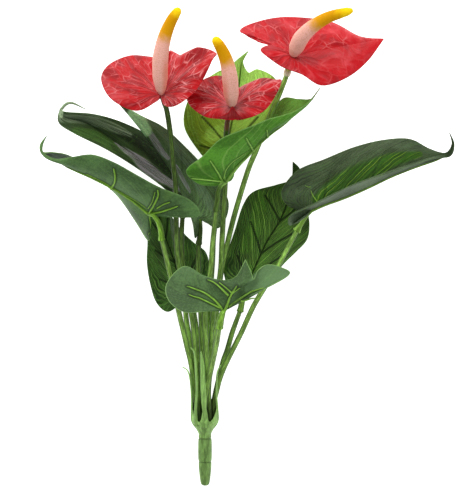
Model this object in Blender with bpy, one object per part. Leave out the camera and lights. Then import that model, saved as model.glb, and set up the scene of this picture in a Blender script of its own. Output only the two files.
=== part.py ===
"""Artificial anthurium spray, lying on its back: three blooms, nine leaves, twelve stems and a foot.

The part's frame: +X is right and +Y is up in the photograph, +Z is towards its viewer, and the floor is
z = 0. Each point of a piece is held as photo x and photo y in pixels, and its height over the floor in mm.
"""

import math

import bpy
import numpy as np

MM = 0.001
PIXEL = 0.729 * MM  # the plant's length per photo pixel: 35 cm over the length that is marked
CENTRE_X_PX = 247.27  # photo x that becomes x = 0
CENTRE_Y_PX = 246.98  # photo y that becomes y = 0

BLADE_THICKNESS = 0.8 * MM
SPATHE_THICKNESS = 1.0 * MM
RIB_GAP = 0.35 * MM  # air between a blade and the moulded ribs under it
COLLAR_GAP = 0.72 * MM  # air between a stem's upper end and the leaf's collar
BLOOM_GAP = 0.95 * MM  # air between the middle of a spathe and the stem under it, or the spadix on it
DISH_GAP = 0.8 * MM  # air between the dish floor and the stems' lower ends
MIDRIB_RADIUS = 1.15 * MM
RIB_TIP_RADIUS = 0.55 * MM
SIDE_RIB_RADIUS = 0.75 * MM
PETIOLE_RADIUS = 1.7 * MM
COLLAR_RADIUS = 2.5 * MM
STEM_SHARES = (0.1, 0.5, 0.8, 1.0)  # shares of a stem's length, from the dish up
STEM_RADII = (1.5 * MM, 1.95 * MM, 1.95 * MM, 1.65 * MM)  # thin in the dish, where the stems stand close

ROWS_PER_STATION = 2  # mesh rows between two margin points
HALF_COLUMNS = 3  # mesh columns from midrib to margin

STEM_SIDES = 6
STEM_RINGS = 13
RIB_SIDES = 4
MIDRIB_SIDES = 6
SPADIX_SIDES = 10
FOOT_SIDES = 20

LEAF_TOP = (0.022, 0.085, 0.018)
LEAF_FRESH = (0.16, 0.36, 0.045)
RIB_GREEN = (0.23, 0.42, 0.05)
STEM_GREEN = (0.12, 0.25, 0.06)
FOOT_GREEN = (0.14, 0.30, 0.07)
SPATHE_RED = (0.62, 0.012, 0.022)
SPADIX_PINK = (0.78, 0.42, 0.28)

# Leaves. "mid" runs from the attachment to the tip. "left" and "right" are the two margins, seen on the top
# face with the tip away, from the attachment round the basal lobe to the tip. The first margin points fan
# out from the attachment; after them, each margin point faces one midrib point. "bulge" lifts each half
# between midrib and margin, and "wave" is the height of the ripple along the margin, both in mm towards the
# top face. Side ribs are given as (mesh row at which the rib leaves the midrib, rows that it advances per
# column, columns that it reaches across). "midrib_end" is the mesh row where the midrib stops, "more_gap"
# adds air (mm) between blade and ribs, and "sink" lets the whole leaf down (mm) to rest on the floor.
LEAVES = {
    "a": {
        "colour": LEAF_TOP,
        "mid": [
            (148.7, 213.0, 56), (133.6, 200.2, 58), (115.2, 188.6, 60), (94.4, 178.0, 61), (72.6, 168.4, 59),
            (54, 159.6, 54), (43.5, 152.0, 50), (41.9, 144.5, 48), (47, 135, 48),
        ],
        "left": [
            (148.7, 213.6, 56), (170, 216.8, 63), (199, 215.6, 69), (191, 200.4, 73), (160, 187.2, 76),
            (138, 175.4, 78), (115, 162.6, 78), (93, 154.6, 74), (71.5, 156.9, 66), (56, 158.6, 57),
            (43.9, 152.6, 51), (43.0, 144.6, 49), (47, 135, 48),
        ],
        "right": [
            (148.7, 213.6, 56), (149.8, 224, 49), (150.2, 233, 42), (147.8, 239.8, 36), (136, 221.5, 38),
            (121, 199.5, 42), (104, 180, 44), (86, 165, 46), (68, 154.6, 48), (53, 151.8, 49),
            (42.8, 151.4, 49), (40.8, 144.4, 47), (47, 135, 48),
        ],
        "bulge": -2.0, "wave": 0.0, "waves": 2.0,
        "midrib_end": 17,
        "left_ribs": ((6, 0, 2), (8, 0, 2), (12, 0, 2)),
        "right_ribs": ((6, 0, 2),),
        "petiole": [(153.2, 214.8, 61), (158.5, 222, 59), (161.4, 233, 54), (161.8, 240, 52)],
    },
    "b": {
        "colour": LEAF_TOP,
        "mid": [
            (189, 196, 25), (169, 178, 26), (145, 162.5, 27), (116, 143, 29), (88.2, 123.3, 30),
            (67, 116.5, 30), (61.8, 108, 30), (70.5, 102.2, 30), (86.3, 108.8, 31),
        ],
        "left": [
            (189, 196, 25), (191, 202, 27), (189, 208, 28), (181, 205.5, 30), (165.7, 189, 31),
            (136.6, 167.6, 34), (106, 148.8, 40), (75, 133.4, 40), (58.6, 122, 35), (60.6, 107.8, 30.5),
            (70.3, 101.2, 30.5), (86.3, 108.8, 31),
        ],
        "right": [
            (189, 196, 25), (196, 194, 24), (197, 186, 22), (189, 172, 20), (169.4, 152, 20),
            (145.4, 133.2, 24), (119.8, 120.8, 34), (93, 113.5, 38), (66, 111.4, 35), (63, 108.4, 30.5),
            (70.8, 103.2, 30), (86.3, 108.8, 31),
        ],
        "bulge": 2.0, "wave": 0.0, "waves": 2.0,
        "midrib_end": 15,
        "left_ribs": ((6, 1, 2), (9, 1, 2)),
        "right_ribs": ((6, 1, 2), (9, 1, 2)),
        "petiole": [(187.5, 201, 23), (184.5, 209, 21.5), (182, 218, 20.5)],
    },
    "c": {
        "colour": LEAF_TOP,
        "mid": [
            (199, 217, 40), (193, 197, 38), (182, 175, 37), (169, 157, 37), (155, 139, 38), (138, 119, 38),
            (117, 101, 38),
        ],
        "left": [
            (199, 217, 40), (198.4, 229, 38), (195.4, 237.6, 36), (192.6, 221, 34), (183, 196, 32),
            (175, 177, 31), (164, 160, 31), (150, 141, 32), (131, 117.5, 35), (117, 101, 38),
        ],
        "right": [
            (199, 217, 40), (206, 222, 41), (219, 227.5, 42), (228, 212, 42), (226, 194, 41),
            (206, 168.5, 40), (187, 148, 40), (164, 127, 40), (140, 114.5, 39), (117, 101, 38),
        ],
        "bulge": 1.5, "wave": 0.0, "waves": 2.0,
        "left_ribs": ((7, 1, 2), (10, 1, 2)),
        "right_ribs": ((5, 0, 1), (7, 1, 2), (10, 1, 2)),
        "petiole": [(200.4, 221, 38), (200.4, 231, 36), (198.9, 244, 34)],
    },
    "d": {
        "colour": LEAF_TOP,
        "mid": [
            (182, 288, 15), (177, 271, 9.5), (171.5, 254, 5.2), (165.5, 238, 3.4), (160, 221, 3.4),
            (155.5, 205, 5), (152.5, 188, 9),
        ],
        "left": [
            (182, 288, 15), (180, 302, 17), (168, 311.6, 20), (156.6, 302.6, 22), (150.3, 284, 23),
            (147.0, 262, 22), (147.6, 243, 19), (147.2, 224, 15), (148.4, 206, 11), (152.5, 188, 9),
        ],
        "right": [
            (182, 288, 15), (190, 300, 14), (204, 291, 12), (209.5, 271, 10), (206, 252.5, 8.5),
            (194, 242.5, 7.5), (183, 232, 7.2), (172, 217, 7), (161, 201, 7), (152.5, 188, 9),
        ],
        "bulge": 1.0, "wave": 0.0, "waves": 2.0,
        "sink": 0.956,
        "left_ribs": ((4, 0, 2), (6, 1, 2), (9, 1, 2), (12, 1, 2)),
        "right_ribs": ((4, 0, 2), (6, 1, 2), (9, 1, 2), (12, 1, 2)),
        "petiole": [(183.2, 292, 12.2), (184.4, 299, 11.2), (185.4, 306, 11.6)],
    },
    "e": {
        "colour": LEAF_TOP,
        "mid": [
            (225, 310, 68), (228.5, 301, 71), (232, 293, 73), (237, 285.5, 73.5), (241.5, 276, 71),
            (245.7, 259.2, 66),
        ],
        "left": [
            (225, 310, 68), (243, 300.8, 67.4), (267.6, 287.2, 66), (290, 273.5, 61), (279, 266.2, 60),
            (267, 264.4, 62), (258.4, 270, 66), (254.2, 278.8, 70), (251, 271, 69), (245.7, 259.2, 66),
        ],
        "right": [
            (225, 310, 68), (203, 311.3, 69), (183, 311.3, 68), (168.5, 299.5, 64), (167, 283, 60),
            (184, 266, 60), (203, 275, 64), (223, 280, 69), (236.5, 276, 70), (245.7, 259.2, 66),
        ],
        "bulge": -0.8, "wave": 0.0, "waves": 2.0,
        "midrib_end": 14,
        "more_gap": 0.25,
        "left_ribs": ((7, 0, 2), (11, 0, 1)),
        "right_ribs": ((7, 0, 2), (9, 0, 2), (12, 0, 2), (14, 0, 1)),
        "petiole": [(222.6, 313, 69), (220.6, 320, 67), (219.4, 328, 64)],
    },
    "f": {
        "colour": LEAF_TOP,
        "mid": [
            (248, 283, 17), (256, 266, 11), (267, 242, 5.4), (280, 221, 3.4), (288, 202, 3.4),
            (292, 185, 4.6), (294.2, 171.5, 6.4), (293.2, 160.8, 9),
        ],
        "left": [
            (248, 283, 17), (241, 291, 18), (229, 287, 17.5), (223.8, 269, 16), (228, 251, 13),
            (235.2, 230, 10), (243.4, 204.6, 8.5), (254.2, 191, 8), (277, 184.2, 7.5), (291.2, 178.8, 7),
            (293.2, 160.8, 9),
        ],
        "right": [
            (248, 283, 17), (254, 291, 18), (269, 283, 18), (283, 265, 17), (297, 251, 15), (307.5, 239, 12),
            (309.8, 223, 10), (307, 204, 8.5), (305, 184, 8), (300.4, 168.6, 8), (293.2, 160.8, 9),
        ],
        "bulge": 1.0, "wave": 0.0, "waves": 2.0,
        "sink": 0.771,
        "left_ribs": ((4, 0, 2), (6, 1, 2), (9, 1, 2), (12, 1, 2)),
        "right_ribs": ((4, 0, 2), (6, 1, 2), (9, 1, 2), (12, 1, 2)),
        "petiole": [(245, 291, 16.5), (242.6, 301, 16.5), (240.2, 312, 16.5)],
    },
    "g": {
        "colour": LEAF_TOP,
        "mid": [
            (311, 209.8, 45), (325, 203.8, 46), (345, 196.7, 47), (368.6, 186.6, 47), (391.6, 175.8, 46),
            (415, 166.8, 44), (436, 159.8, 42), (449.5, 154.6, 40), (453.7, 143.5, 39), (450, 131.8, 39),
        ],
        "left": [
            (311, 209.8, 45), (302, 208.4, 43), (288.6, 205.4, 41), (281.8, 191.2, 39), (297.5, 170.4, 38),
            (325, 158.8, 37), (355, 146.6, 36), (384, 139.6, 36), (410, 138.6, 37), (429.4, 148.1, 38),
            (445.5, 152.6, 39), (452.6, 143.3, 38.5), (450, 131.8, 39),
        ],
        "right": [
            (311, 209.8, 45), (303, 216.6, 54), (290.4, 225, 61), (290.6, 215.6, 66), (311.5, 205.6, 71),
            (335.5, 193, 72), (358, 182.8, 71), (384, 174.2, 66), (412, 164.6, 58), (434, 158.2, 49),
            (450.8, 155.8, 41), (454.8, 143.7, 39.5), (450, 131.8, 39),
        ],
        "bulge": 2.0, "wave": 0.0, "waves": 2.0,
        "midrib_end": 19,
        "left_ribs": ((8, 1, 2), (12, 1, 2)),
        "right_ribs": (),
        "petiole": [(307.5, 215, 43), (302.5, 222, 42), (296.6, 231, 41)],
    },
    "h": {
        "colour": LEAF_FRESH,
        "mid": [
            (225.4, 181.8, 62), (236, 167, 64), (249.2, 153.3, 66), (259.8, 142.3, 67), (271.4, 132.2, 67),
            (284, 123.3, 66), (295.2, 113.2, 64), (307.4, 103.2, 61), (320.2, 87.7, 57),
        ],
        "left": [
            (225.4, 181.8, 62), (231, 180, 60), (234, 174, 58), (233, 166, 56), (240, 158, 56),
            (249, 149, 56), (257, 140, 57), (263, 130, 58), (271, 118.5, 58), (282.5, 98.5, 58),
            (299, 98.8, 59), (311.5, 98.2, 59), (320.2, 87.7, 57),
        ],
        "right": [
            (225.4, 181.8, 62), (215, 185.2, 64), (198, 183, 68), (186.5, 170.5, 72), (203, 156, 80),
            (220, 139.5, 84), (241, 130.3, 86), (256, 124.5, 86), (269, 119, 84), (284, 115, 79),
            (297, 110, 72), (309, 101.4, 64), (320.2, 87.7, 57),
        ],
        "bulge": -2.0, "wave": 0.0, "waves": 2.0,
        "left_ribs": ((18, 0, 1),),
        "right_ribs": ((5, 0, 2), (8, 0, 2), (13, 0, 2), (15, 0, 1)),
        "petiole": [(221.6, 184.2, 68.6), (218.6, 191, 65.6), (217.6, 200, 63), (216.2, 211, 60)],
    },
    "i": {
        "colour": LEAF_FRESH,
        "mid": [
            (228, 142, 13), (230.5, 129, 8.5), (233, 117, 5.2), (236, 102, 3.6), (239, 86, 3.4),
            (240.8, 72, 4.6), (243, 60.6, 6.2), (248.7, 49.8, 8.5),
        ],
        "left": [
            (228, 142, 13), (221, 155, 15), (209, 160, 16), (196.3, 147, 15), (184.5, 126, 13),
            (186.5, 104, 11), (199, 85, 9), (215, 72.5, 8), (229, 66, 7.5), (238.6, 57.6, 7.6),
            (248.7, 49.8, 8.5),
        ],
        "right": [
            (228, 142, 13), (234, 152, 14), (245, 150, 15), (258, 137, 14), (271, 121, 12), (280, 101, 10),
            (275.8, 78.4, 9), (258.4, 68.4, 8), (248.9, 71.6, 7.6), (243.3, 60.8, 7.2), (248.7, 49.8, 8.5),
        ],
        "bulge": 1.0, "wave": 0.0, "waves": 2.0,
        "sink": 0.975,
        "left_ribs": ((4, 0, 2), (6, 1, 2), (9, 1, 2)),
        "right_ribs": ((4, 0, 2), (6, 1, 2), (9, 1, 2)),
        "petiole": [(227, 149, 12), (226, 158, 11), (225.4, 168, 10.5)],
    },
}

# Spathes: the same kind of surface, from the foot of the spadix to the tip of the heart.
SPATHES = {
    "1": {
        "mid": [(161.7, 95, 90), (164, 84, 81), (166.5, 72, 73), (169, 61, 66), (171, 50.2, 60)],
        "left": [
            (161.7, 95, 90), (155, 103.2, 94), (135, 110.2, 95), (112, 99.6, 92), (101.8, 79, 86),
            (109.6, 65, 79), (130, 55.2, 72), (155, 57.5, 65), (171, 50.2, 60),
        ],
        "right": [
            (161.7, 95, 90), (165, 105, 94), (178, 105.2, 96), (196, 90, 95), (212, 62.5, 90),
            (215.8, 52.5, 82), (199.5, 47.9, 75), (183.5, 55, 66), (171, 50.2, 60),
        ],
        "bulge": 2.0, "wave": 0.8, "waves": 4.0,
    },
    "2": {
        "mid": [(232.2, 107.2, 76), (234, 102, 71), (236, 97, 66), (238, 92, 61), (239.5, 88, 56)],
        "left": [
            (232.2, 107.2, 76), (229.4, 118.8, 78), (218.4, 118.2, 80), (203.4, 116, 81), (190.8, 105.5, 79),
            (187.4, 95, 75), (196, 85, 69), (208, 77.3, 63), (225, 77.2, 58), (239.5, 88, 56),
        ],
        "right": [
            (232.2, 107.2, 76), (235, 118.8, 78), (245.6, 118.6, 80), (257.6, 114.6, 81), (270.5, 103.5, 79),
            (281.8, 82, 76), (274, 78.8, 70), (262, 79, 64), (250, 82.2, 59), (239.5, 88, 56),
        ],
        "bulge": 2.0, "wave": 0.8, "waves": 4.0,
    },
    "3": {
        "mid": [(293, 56, 72), (316, 51.5, 70), (339, 47, 67), (362, 42.5, 62), (384.2, 38.6, 56)],
        "left": [
            (293, 56, 72), (275, 46.8, 71), (257, 39.8, 69), (240.4, 32.2, 65), (250.4, 23.6, 60),
            (285, 17.4, 56), (328, 20.2, 54), (358, 35.8, 55), (384.2, 38.6, 56),
        ],
        "right": [
            (293, 56, 72), (275, 44.6, 71.0), (260.6, 50.9, 77.6), (279, 64.2, 80.6), (301, 74.6, 82),
            (322, 84.8, 82), (349, 76.6, 78), (368.4, 59.8, 70), (384.2, 38.6, 56),
        ],
        "bulge": 2.0, "wave": 0.8, "waves": 4.0,
    },
}

# Spadices: the centre line after its foot, which sits on the spathe. The profile holds pairs of the share of
# the way and the radius (mm).
SPADIX_PROFILE = (
    (0.0, 1.3), (0.06, 4.0), (0.17, 5.8), (0.36, 6.0), (0.56, 5.3), (0.74, 4.6), (0.88, 4.0),
    (0.96, 3.2), (1.0, 1.4),
)
SPADICES = {
    "1": [
        (160.6, 75, 103.5), (161.2, 56, 111.5), (165, 38, 116), (171.5, 22, 119), (180, 8.6, 120.5),
    ],
    "2": [
        (231.2, 91.5, 90), (229.8, 76, 98), (226.6, 61, 102.5), (221.2, 48.5, 106), (214.2, 37.6, 108),
    ],
    "3": [
        (297.4, 45.4, 84.6), (302.5, 36.5, 94), (313, 26.6, 101), (329, 17.4, 107), (352.8, 10.6, 110),
    ],
}

# Stems, from the dish of the foot up. The lower end is moved on to the dish floor, and the upper end, which
# isn't listed, is computed: just under the leaf's collar or the spathe.
STEMS = {
    "flower_1": [
        (199.5, 420.6, 17.9), (198.6, 400, 19.5), (194.8, 345, 27), (190.8, 311, 33), (178.5, 262, 42),
        (176.3, 218, 49), (175.6, 185, 56), (173.3, 163, 61), (171.2, 138.5, 68), (167.4, 112, 79),
        (164.4, 103, 84.5),
    ],
    "flower_2": [
        (207.5, 420.6, 14.2), (208.5, 400, 16), (211, 345, 21), (214, 311, 26.5), (220.5, 272, 37),
        (222.2, 240, 45), (223.6, 215, 49), (225.3, 185, 52), (226, 160, 53), (226.2, 140, 56),
        (227.6, 122, 65), (230, 114, 70.5),
    ],
    "flower_3": [
        (205, 420.6, 11), (207.6, 400, 11.6), (213.2, 345, 13.5), (217, 311, 15.5), (221.5, 272, 19),
        (229, 237, 27), (236.5, 208, 33), (248.2, 170, 42), (256.5, 150, 46), (264.4, 130, 49),
        (271.2, 113, 52), (278.2, 97, 56), (285, 80, 60), (288.6, 69, 64.5),
    ],
    "leaf_a": [
        (197.0, 420.6, 14.2), (195.6, 400, 16), (191.4, 366, 22.4), (186.6, 345, 27.5), (178.8, 311, 36),
        (168, 264, 46),
    ],
    "leaf_b": [
        (202.1, 419.4, 7.8), (201, 400, 8.2), (197.8, 345, 12), (193.6, 311, 16), (182.7, 262, 20),
        (181.6, 240, 20.5),
    ],
    "leaf_c": [
        (202.5, 420.6, 14.2), (202.8, 400, 15.5), (202, 345, 22), (200.8, 311, 26), (198.4, 267, 31),
    ],
    "leaf_d": [
        (197.6, 420.6, 10), (196.5, 400, 10.4), (190.4, 345, 11.6), (186.6, 321, 11.8),
    ],
    "leaf_e": [
        (205, 420.6, 18.7), (205.4, 400, 22.9), (208, 385, 27.5), (212.4, 364, 38), (216.8, 343, 53),
    ],
    "leaf_f": [
        (212.4, 420.6, 10), (214.2, 400, 10.5), (222.6, 364, 12), (227.4, 350, 13.2), (232.6, 332, 14.6),
    ],
    "leaf_g": [
        (212.9, 420.6, 14.2), (214.4, 403, 15), (217.4, 389, 16.2), (220.6, 377, 17.8), (226.8, 362, 20.8),
        (241.8, 332, 27), (255.4, 303, 32), (278, 266, 37),
    ],
    "leaf_h": [
        (210.5, 420.6, 17.9), (209, 400, 20.5), (206.2, 345, 29), (205, 311, 36), (210.7, 270, 45),
        (213.2, 240, 52.5),
    ],
    "leaf_i": [
        (207.9, 419.4, 7.8), (208.6, 400, 7.8), (208.6, 345, 7.5), (209.2, 311, 7.4), (212.6, 262, 7.6),
        (213.6, 238, 8.3), (216.6, 215, 8.8), (221, 190, 9.6),
    ],
}

# The foot: its axis in the photo, and pairs of the share of the way and the outer radius (mm) along it, from
# the pick's end to the rim of the dish.
FOOT_END = (205.2, 486.0, 2.79)
FOOT_RIM = (205.0, 418.5, 13.6)
FOOT_PROFILE = (
    (0.000, 1.4), (0.012, 2.6), (0.045, 3.35), (0.12, 3.8), (0.24, 4.25), (0.335, 4.4), (0.355, 4.1),
    (0.375, 4.5), (0.45, 4.75), (0.60, 4.75), (0.685, 4.5), (0.705, 4.05), (0.725, 4.3), (0.775, 4.3),
    (0.86, 6.6), (0.93, 8.9), (0.975, 10.0), (1.000, 10.1),
)
DISH_RADIUS = 8.7
DISH_DEPTH_SHARE = 0.06  # of the foot's length, measured down from the rim

# Sheath ribs: they start in the wall of the cup and end in thin tips along the stems. Widths and depths are
# in mm.
SHEATHS = {
    "left": {
        "path": [
            (198.6, 431, 13), (192.7, 421.5, 14.2), (192.1, 409, 16.8), (191.9, 396, 20), (190.4, 380, 23.5),
            (187.8, 370.8, 25.5), (182.4, 366.8, 26),
        ],
        "side": (0, 0, 1),
        "width": (4.4, 4.4, 4.0, 3.2, 2.4, 1.6, 0.9), "depth": (1.0, 2.0, 1.8, 1.6, 1.3, 1.0, 0.7),
    },
    "left_front": {
        "path": [
            (196.4, 426, 18.8), (195.8, 410, 22.6), (197, 391, 26.4), (196.3, 374, 29.8), (194.8, 353.8, 34),
            (191, 347.4, 36),
        ],
        "side": (1, 0, 1), "width": (4.0, 2.6, 2.2, 2.0, 1.6, 0.9), "depth": (2.2, 1.8, 1.4, 1.2, 1.0, 0.7),
    },
    "front": {
        "path": [
            (204.8, 428, 20.6), (204.6, 414, 24), (203.9, 400, 26.8), (203.2, 384, 29.6), (202.8, 368, 32.4),
            (201.2, 351.5, 36),
        ],
        "side": (1, 0, 0), "width": (6.0, 3.0, 4.0, 3.8, 3.2, 0.9), "depth": (2.4, 2.2, 1.6, 1.3, 1.1, 0.7),
    },
    "right": {
        "path": [
            (211.4, 431, 13), (217.3, 421.5, 14.2), (217.4, 409, 16.8), (216.5, 396, 20.4),
            (216.7, 382, 24.5), (217.8, 371.5, 28), (220.8, 365.4, 30),
        ],
        "side": (0, 0, 1),
        "width": (4.4, 4.4, 4.0, 3.2, 2.4, 1.6, 0.9), "depth": (1.0, 2.0, 1.8, 1.6, 1.3, 1.0, 0.7),
    },
    "back": {
        "path": [(205.4, 426, 4.4), (205.6, 408, 4.2), (206, 390, 3.6), (206.4, 372, 3.2), (206.8, 356, 3.0)],
        "side": (1, 0, 0), "width": (5.0, 3.8, 3.4, 2.8, 0.9), "depth": (2.2, 1.6, 1.3, 1.1, 0.7),
    },
}


def place(points, sink=0.0):
    """Photo x, photo y and height as metres in the part's frame, let down by sink (mm)."""
    table = np.asarray(points, float)
    return np.column_stack(
        [
            (table[:, 0] - CENTRE_X_PX) * PIXEL,
            (CENTRE_Y_PX - table[:, 1]) * PIXEL,
            (table[:, 2] - sink) * MM,
        ]
    )


def along(points, t):
    """A smooth curve through the points, which are taken as evenly spaced in t from 0 to 1."""
    table = np.asarray(points, float)
    if table.ndim == 1:
        table = table[:, None]
    last = len(table) - 1
    padded = np.vstack([2 * table[0] - table[1], table, 2 * table[-1] - table[-2]])
    place_in = np.clip(t, 0, 1) * last
    index = np.minimum(place_in.astype(int), last - 1)
    part = (place_in - index)[:, None]
    a, b, c, d = (padded[index + step] for step in range(4))
    return 0.5 * (
        2 * b + (c - a) * part + (2 * a - 5 * b + 4 * c - d) * part**2 + (3 * b - 3 * c + d - a) * part**3
    )


def unit(vectors):
    """Each row at length one; a row of zeros stays zero."""
    length = np.linalg.norm(vectors, axis=1, keepdims=True)
    return vectors / np.maximum(length, 1e-12)


def surface(shape, u, v):
    """Points of a leaf or spathe: u runs from attachment to tip, v from the left margin to the right."""
    sink = shape.get("sink", 0.0)
    mid, left, right = (place(shape[key], sink) for key in ("mid", "left", "right"))
    fan = (len(left) - len(mid)) / (len(left) - 1)
    step = 1e-3

    def midrib(at):
        return along(mid, np.clip((at - fan) / (1 - fan), 0, 1))

    def margin(at):
        return np.where((v < 0)[:, None], along(left, at), along(right, at))

    base, edge = midrib(u), margin(u)
    before, after = np.clip(u - step, 0, 1), np.clip(u + step, 0, 1)
    run = midrib(after) + margin(after) - midrib(before) - margin(before)
    side = np.where(v < 0, -1.0, 1.0)[:, None]
    top = side * unit(np.cross(edge - base, run))
    share = np.abs(v)
    window = np.minimum(1, 6 * u * (1 - u))
    lift = shape["bulge"] * MM * 4 * share * (1 - share)
    ripple = shape["wave"] * MM * share**2 * np.sin(2 * math.pi * shape["waves"] * u + side[:, 0])
    return base + (edge - base) * share[:, None] + top * (window * (lift + ripple))[:, None]


def sheet(shape):
    """The surface: points, unit normals on the top face, the point index at each grid place, and faces."""
    stations = len(shape["left"]) - 1
    rows = stations * ROWS_PER_STATION
    fan_rows = (len(shape["left"]) - len(shape["mid"])) * ROWS_PER_STATION
    across = np.arange(-HALF_COLUMNS, HALF_COLUMNS + 1)
    grid_u, grid_v = np.meshgrid(np.arange(rows + 1) / rows, across / HALF_COLUMNS, indexing="ij")
    points = surface(shape, grid_u.ravel(), grid_v.ravel())
    index = np.arange(points.shape[0]).reshape(grid_u.shape)
    index[0, :] = index[0, HALF_COLUMNS]
    index[: fan_rows + 1, HALF_COLUMNS] = index[0, HALF_COLUMNS]
    index[rows, :] = index[rows, HALF_COLUMNS]
    triangles = []
    for row in range(rows):
        for column in range(2 * HALF_COLUMNS):
            a, b = index[row, column], index[row, column + 1]
            c, d = index[row + 1, column + 1], index[row + 1, column]
            if column < HALF_COLUMNS:
                triangles += [(a, b, d), (b, c, d)]
            else:
                triangles += [(a, b, c), (a, c, d)]
    triangles = np.array([t for t in triangles if len(set(t)) == 3])
    corners = points[triangles]
    area = np.cross(corners[:, 1] - corners[:, 0], corners[:, 2] - corners[:, 0])
    normals = np.zeros_like(points)
    for corner in range(3):
        np.add.at(normals, triangles[:, corner], area)
    return points, unit(normals), index, triangles


def mesh_object(name, points, faces, colour, smooth=True):
    mesh = bpy.data.meshes.new(name)
    mesh.from_pydata([tuple(p) for p in points], [], [tuple(int(i) for i in f) for f in faces])
    mesh.validate()
    mesh.update()
    for polygon in mesh.polygons:
        polygon.use_smooth = smooth
    thing = bpy.data.objects.new(name, mesh)
    bpy.context.scene.collection.objects.link(thing)
    material = bpy.data.materials.new(name)
    material.use_nodes = True
    shader = material.node_tree.nodes["Principled BSDF"]
    shader.inputs["Base Color"].default_value = (*colour, 1)
    shader.inputs["Roughness"].default_value = 0.45
    mesh.materials.append(material)
    return thing


def thick_sheet(name, shape, thickness, colour):
    """A leaf or spathe as one closed solid: the surface moved half its thickness each way, and an edge wall."""
    points, normals, index, triangles = sheet(shape)
    used = np.unique(triangles)
    renumber = np.full(len(points), -1)
    renumber[used] = np.arange(len(used))
    triangles = renumber[triangles]
    index = renumber[index]
    points, normals = points[used], normals[used]
    count = len(used)
    upper = points + normals * thickness / 2
    lower = points - normals * thickness / 2
    faces = [tuple(t) for t in triangles] + [(c + count, b + count, a + count) for a, b, c in triangles]
    left_edge, right_edge = index[:, 0], index[:, -1]
    for edge, forward in ((left_edge, False), (right_edge, True)):
        for first, second in zip(edge[:-1], edge[1:]):
            if first == second:
                continue
            a, b = (first, second) if forward else (second, first)
            faces += [(b, a, a + count), (b, a + count, b + count)]
    return mesh_object(name, np.vstack([upper, lower]), faces, colour)


def frames(path, side=None):
    """Two unit vectors across the path at each of its points. The first stays as near to side as it can."""
    run = unit(np.gradient(path, axis=0))
    if side is None:
        side = np.array((0.0, 0.0, 1.0)) if abs(run[0, 2]) < 0.8 else np.array((1.0, 0.0, 0.0))
        first = []
        for direction in run:
            side = side - direction * np.dot(side, direction)
            side = side / np.linalg.norm(side)
            first.append(side)
        first = np.array(first)
    else:
        side = np.asarray(side, float)
        first = unit(side - run * (run @ side)[:, None])
    return first, np.cross(run, first)


def tube(name, path, widths, depths, sides, colour, side=None):
    """A closed tube along the path; widths lie along side and depths across it, as radii."""
    first, second = frames(path, side)
    turn = 2 * math.pi * np.arange(sides) / sides
    rings = (
        path[:, None, :]
        + first[:, None, :] * (np.cos(turn)[None, :, None] * np.asarray(widths)[:, None, None])
        + second[:, None, :] * (np.sin(turn)[None, :, None] * np.asarray(depths)[:, None, None])
    )
    faces = []
    for ring in range(len(path) - 1):
        for spot in range(sides):
            beside = (spot + 1) % sides
            a, b = ring * sides + spot, ring * sides + beside
            faces.append((a, b, b + sides, a + sides))
    faces.append(tuple(range(sides))[::-1])
    faces.append(tuple(range((len(path) - 1) * sides, len(path) * sides)))
    return mesh_object(name, rings.reshape(-1, 3), faces, colour)


def join(target, others):
    """Unites closed meshes into the first one."""
    for other in others:
        modifier = target.modifiers.new("join", "BOOLEAN")
        modifier.operation = "UNION"
        modifier.solver = "EXACT"
        modifier.object = other
        bpy.context.view_layer.update()
        evaluated = target.evaluated_get(bpy.context.evaluated_depsgraph_get())
        united = bpy.data.meshes.new_from_object(evaluated)
        target.modifiers.clear()
        target.data = united
        bpy.data.objects.remove(other, do_unlink=True)
    target.data.materials.clear()
    target.data.materials.append(bpy.data.materials[target.name])
    for polygon in target.data.polygons:
        polygon.use_smooth = True
    return target


def rib_moulding(name, leaf):
    """Midrib, side ribs, petiole and collar of one leaf, on the underside of its blade."""
    points, normals, index, _ = sheet(leaf)
    rows = index.shape[0] - 1
    fan_rows = (len(leaf["left"]) - len(leaf["mid"])) * ROWS_PER_STATION
    reach = BLADE_THICKNESS / 2 + RIB_GAP + leaf.get("more_gap", 0.0) * MM

    def under(spots, radius):
        return points[spots] - normals[spots] * (reach + np.asarray(radius)[:, None])

    last = leaf.get("midrib_end", rows - 2)
    midrib_spots = index[fan_rows : last + 1, HALF_COLUMNS]
    taper = np.linspace(MIDRIB_RADIUS, RIB_TIP_RADIUS, len(midrib_spots))
    midrib = under(midrib_spots, taper)
    petiole = place(leaf["petiole"], leaf.get("sink", 0.0))
    petiole = along(petiole, np.linspace(0, 1, 6))
    path = np.vstack([petiole[::-1], midrib])
    radii = np.concatenate(
        [
            [COLLAR_RADIUS, COLLAR_RADIUS * 0.96],
            np.linspace(PETIOLE_RADIUS, MIDRIB_RADIUS * 1.15, len(petiole) - 2),
            taper,
        ]
    )
    body = tube(name, path, radii, radii, MIDRIB_SIDES, RIB_GREEN)
    branches = []
    for side, ribs in ((-1, leaf["left_ribs"]), (1, leaf["right_ribs"])):
        for row, advance, reach_columns in ribs:
            steps = np.arange(reach_columns + 1)
            spots = index[row + advance * steps, HALF_COLUMNS + side * steps]
            thin = np.linspace(SIDE_RIB_RADIUS, RIB_TIP_RADIUS, len(spots))
            line = under(spots, np.concatenate([[MIDRIB_RADIUS], thin[1:]]))
            branches.append(tube(f"{name}_{row}_{side}", line, thin, thin, RIB_SIDES, RIB_GREEN))
    return join(body, branches)


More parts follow.
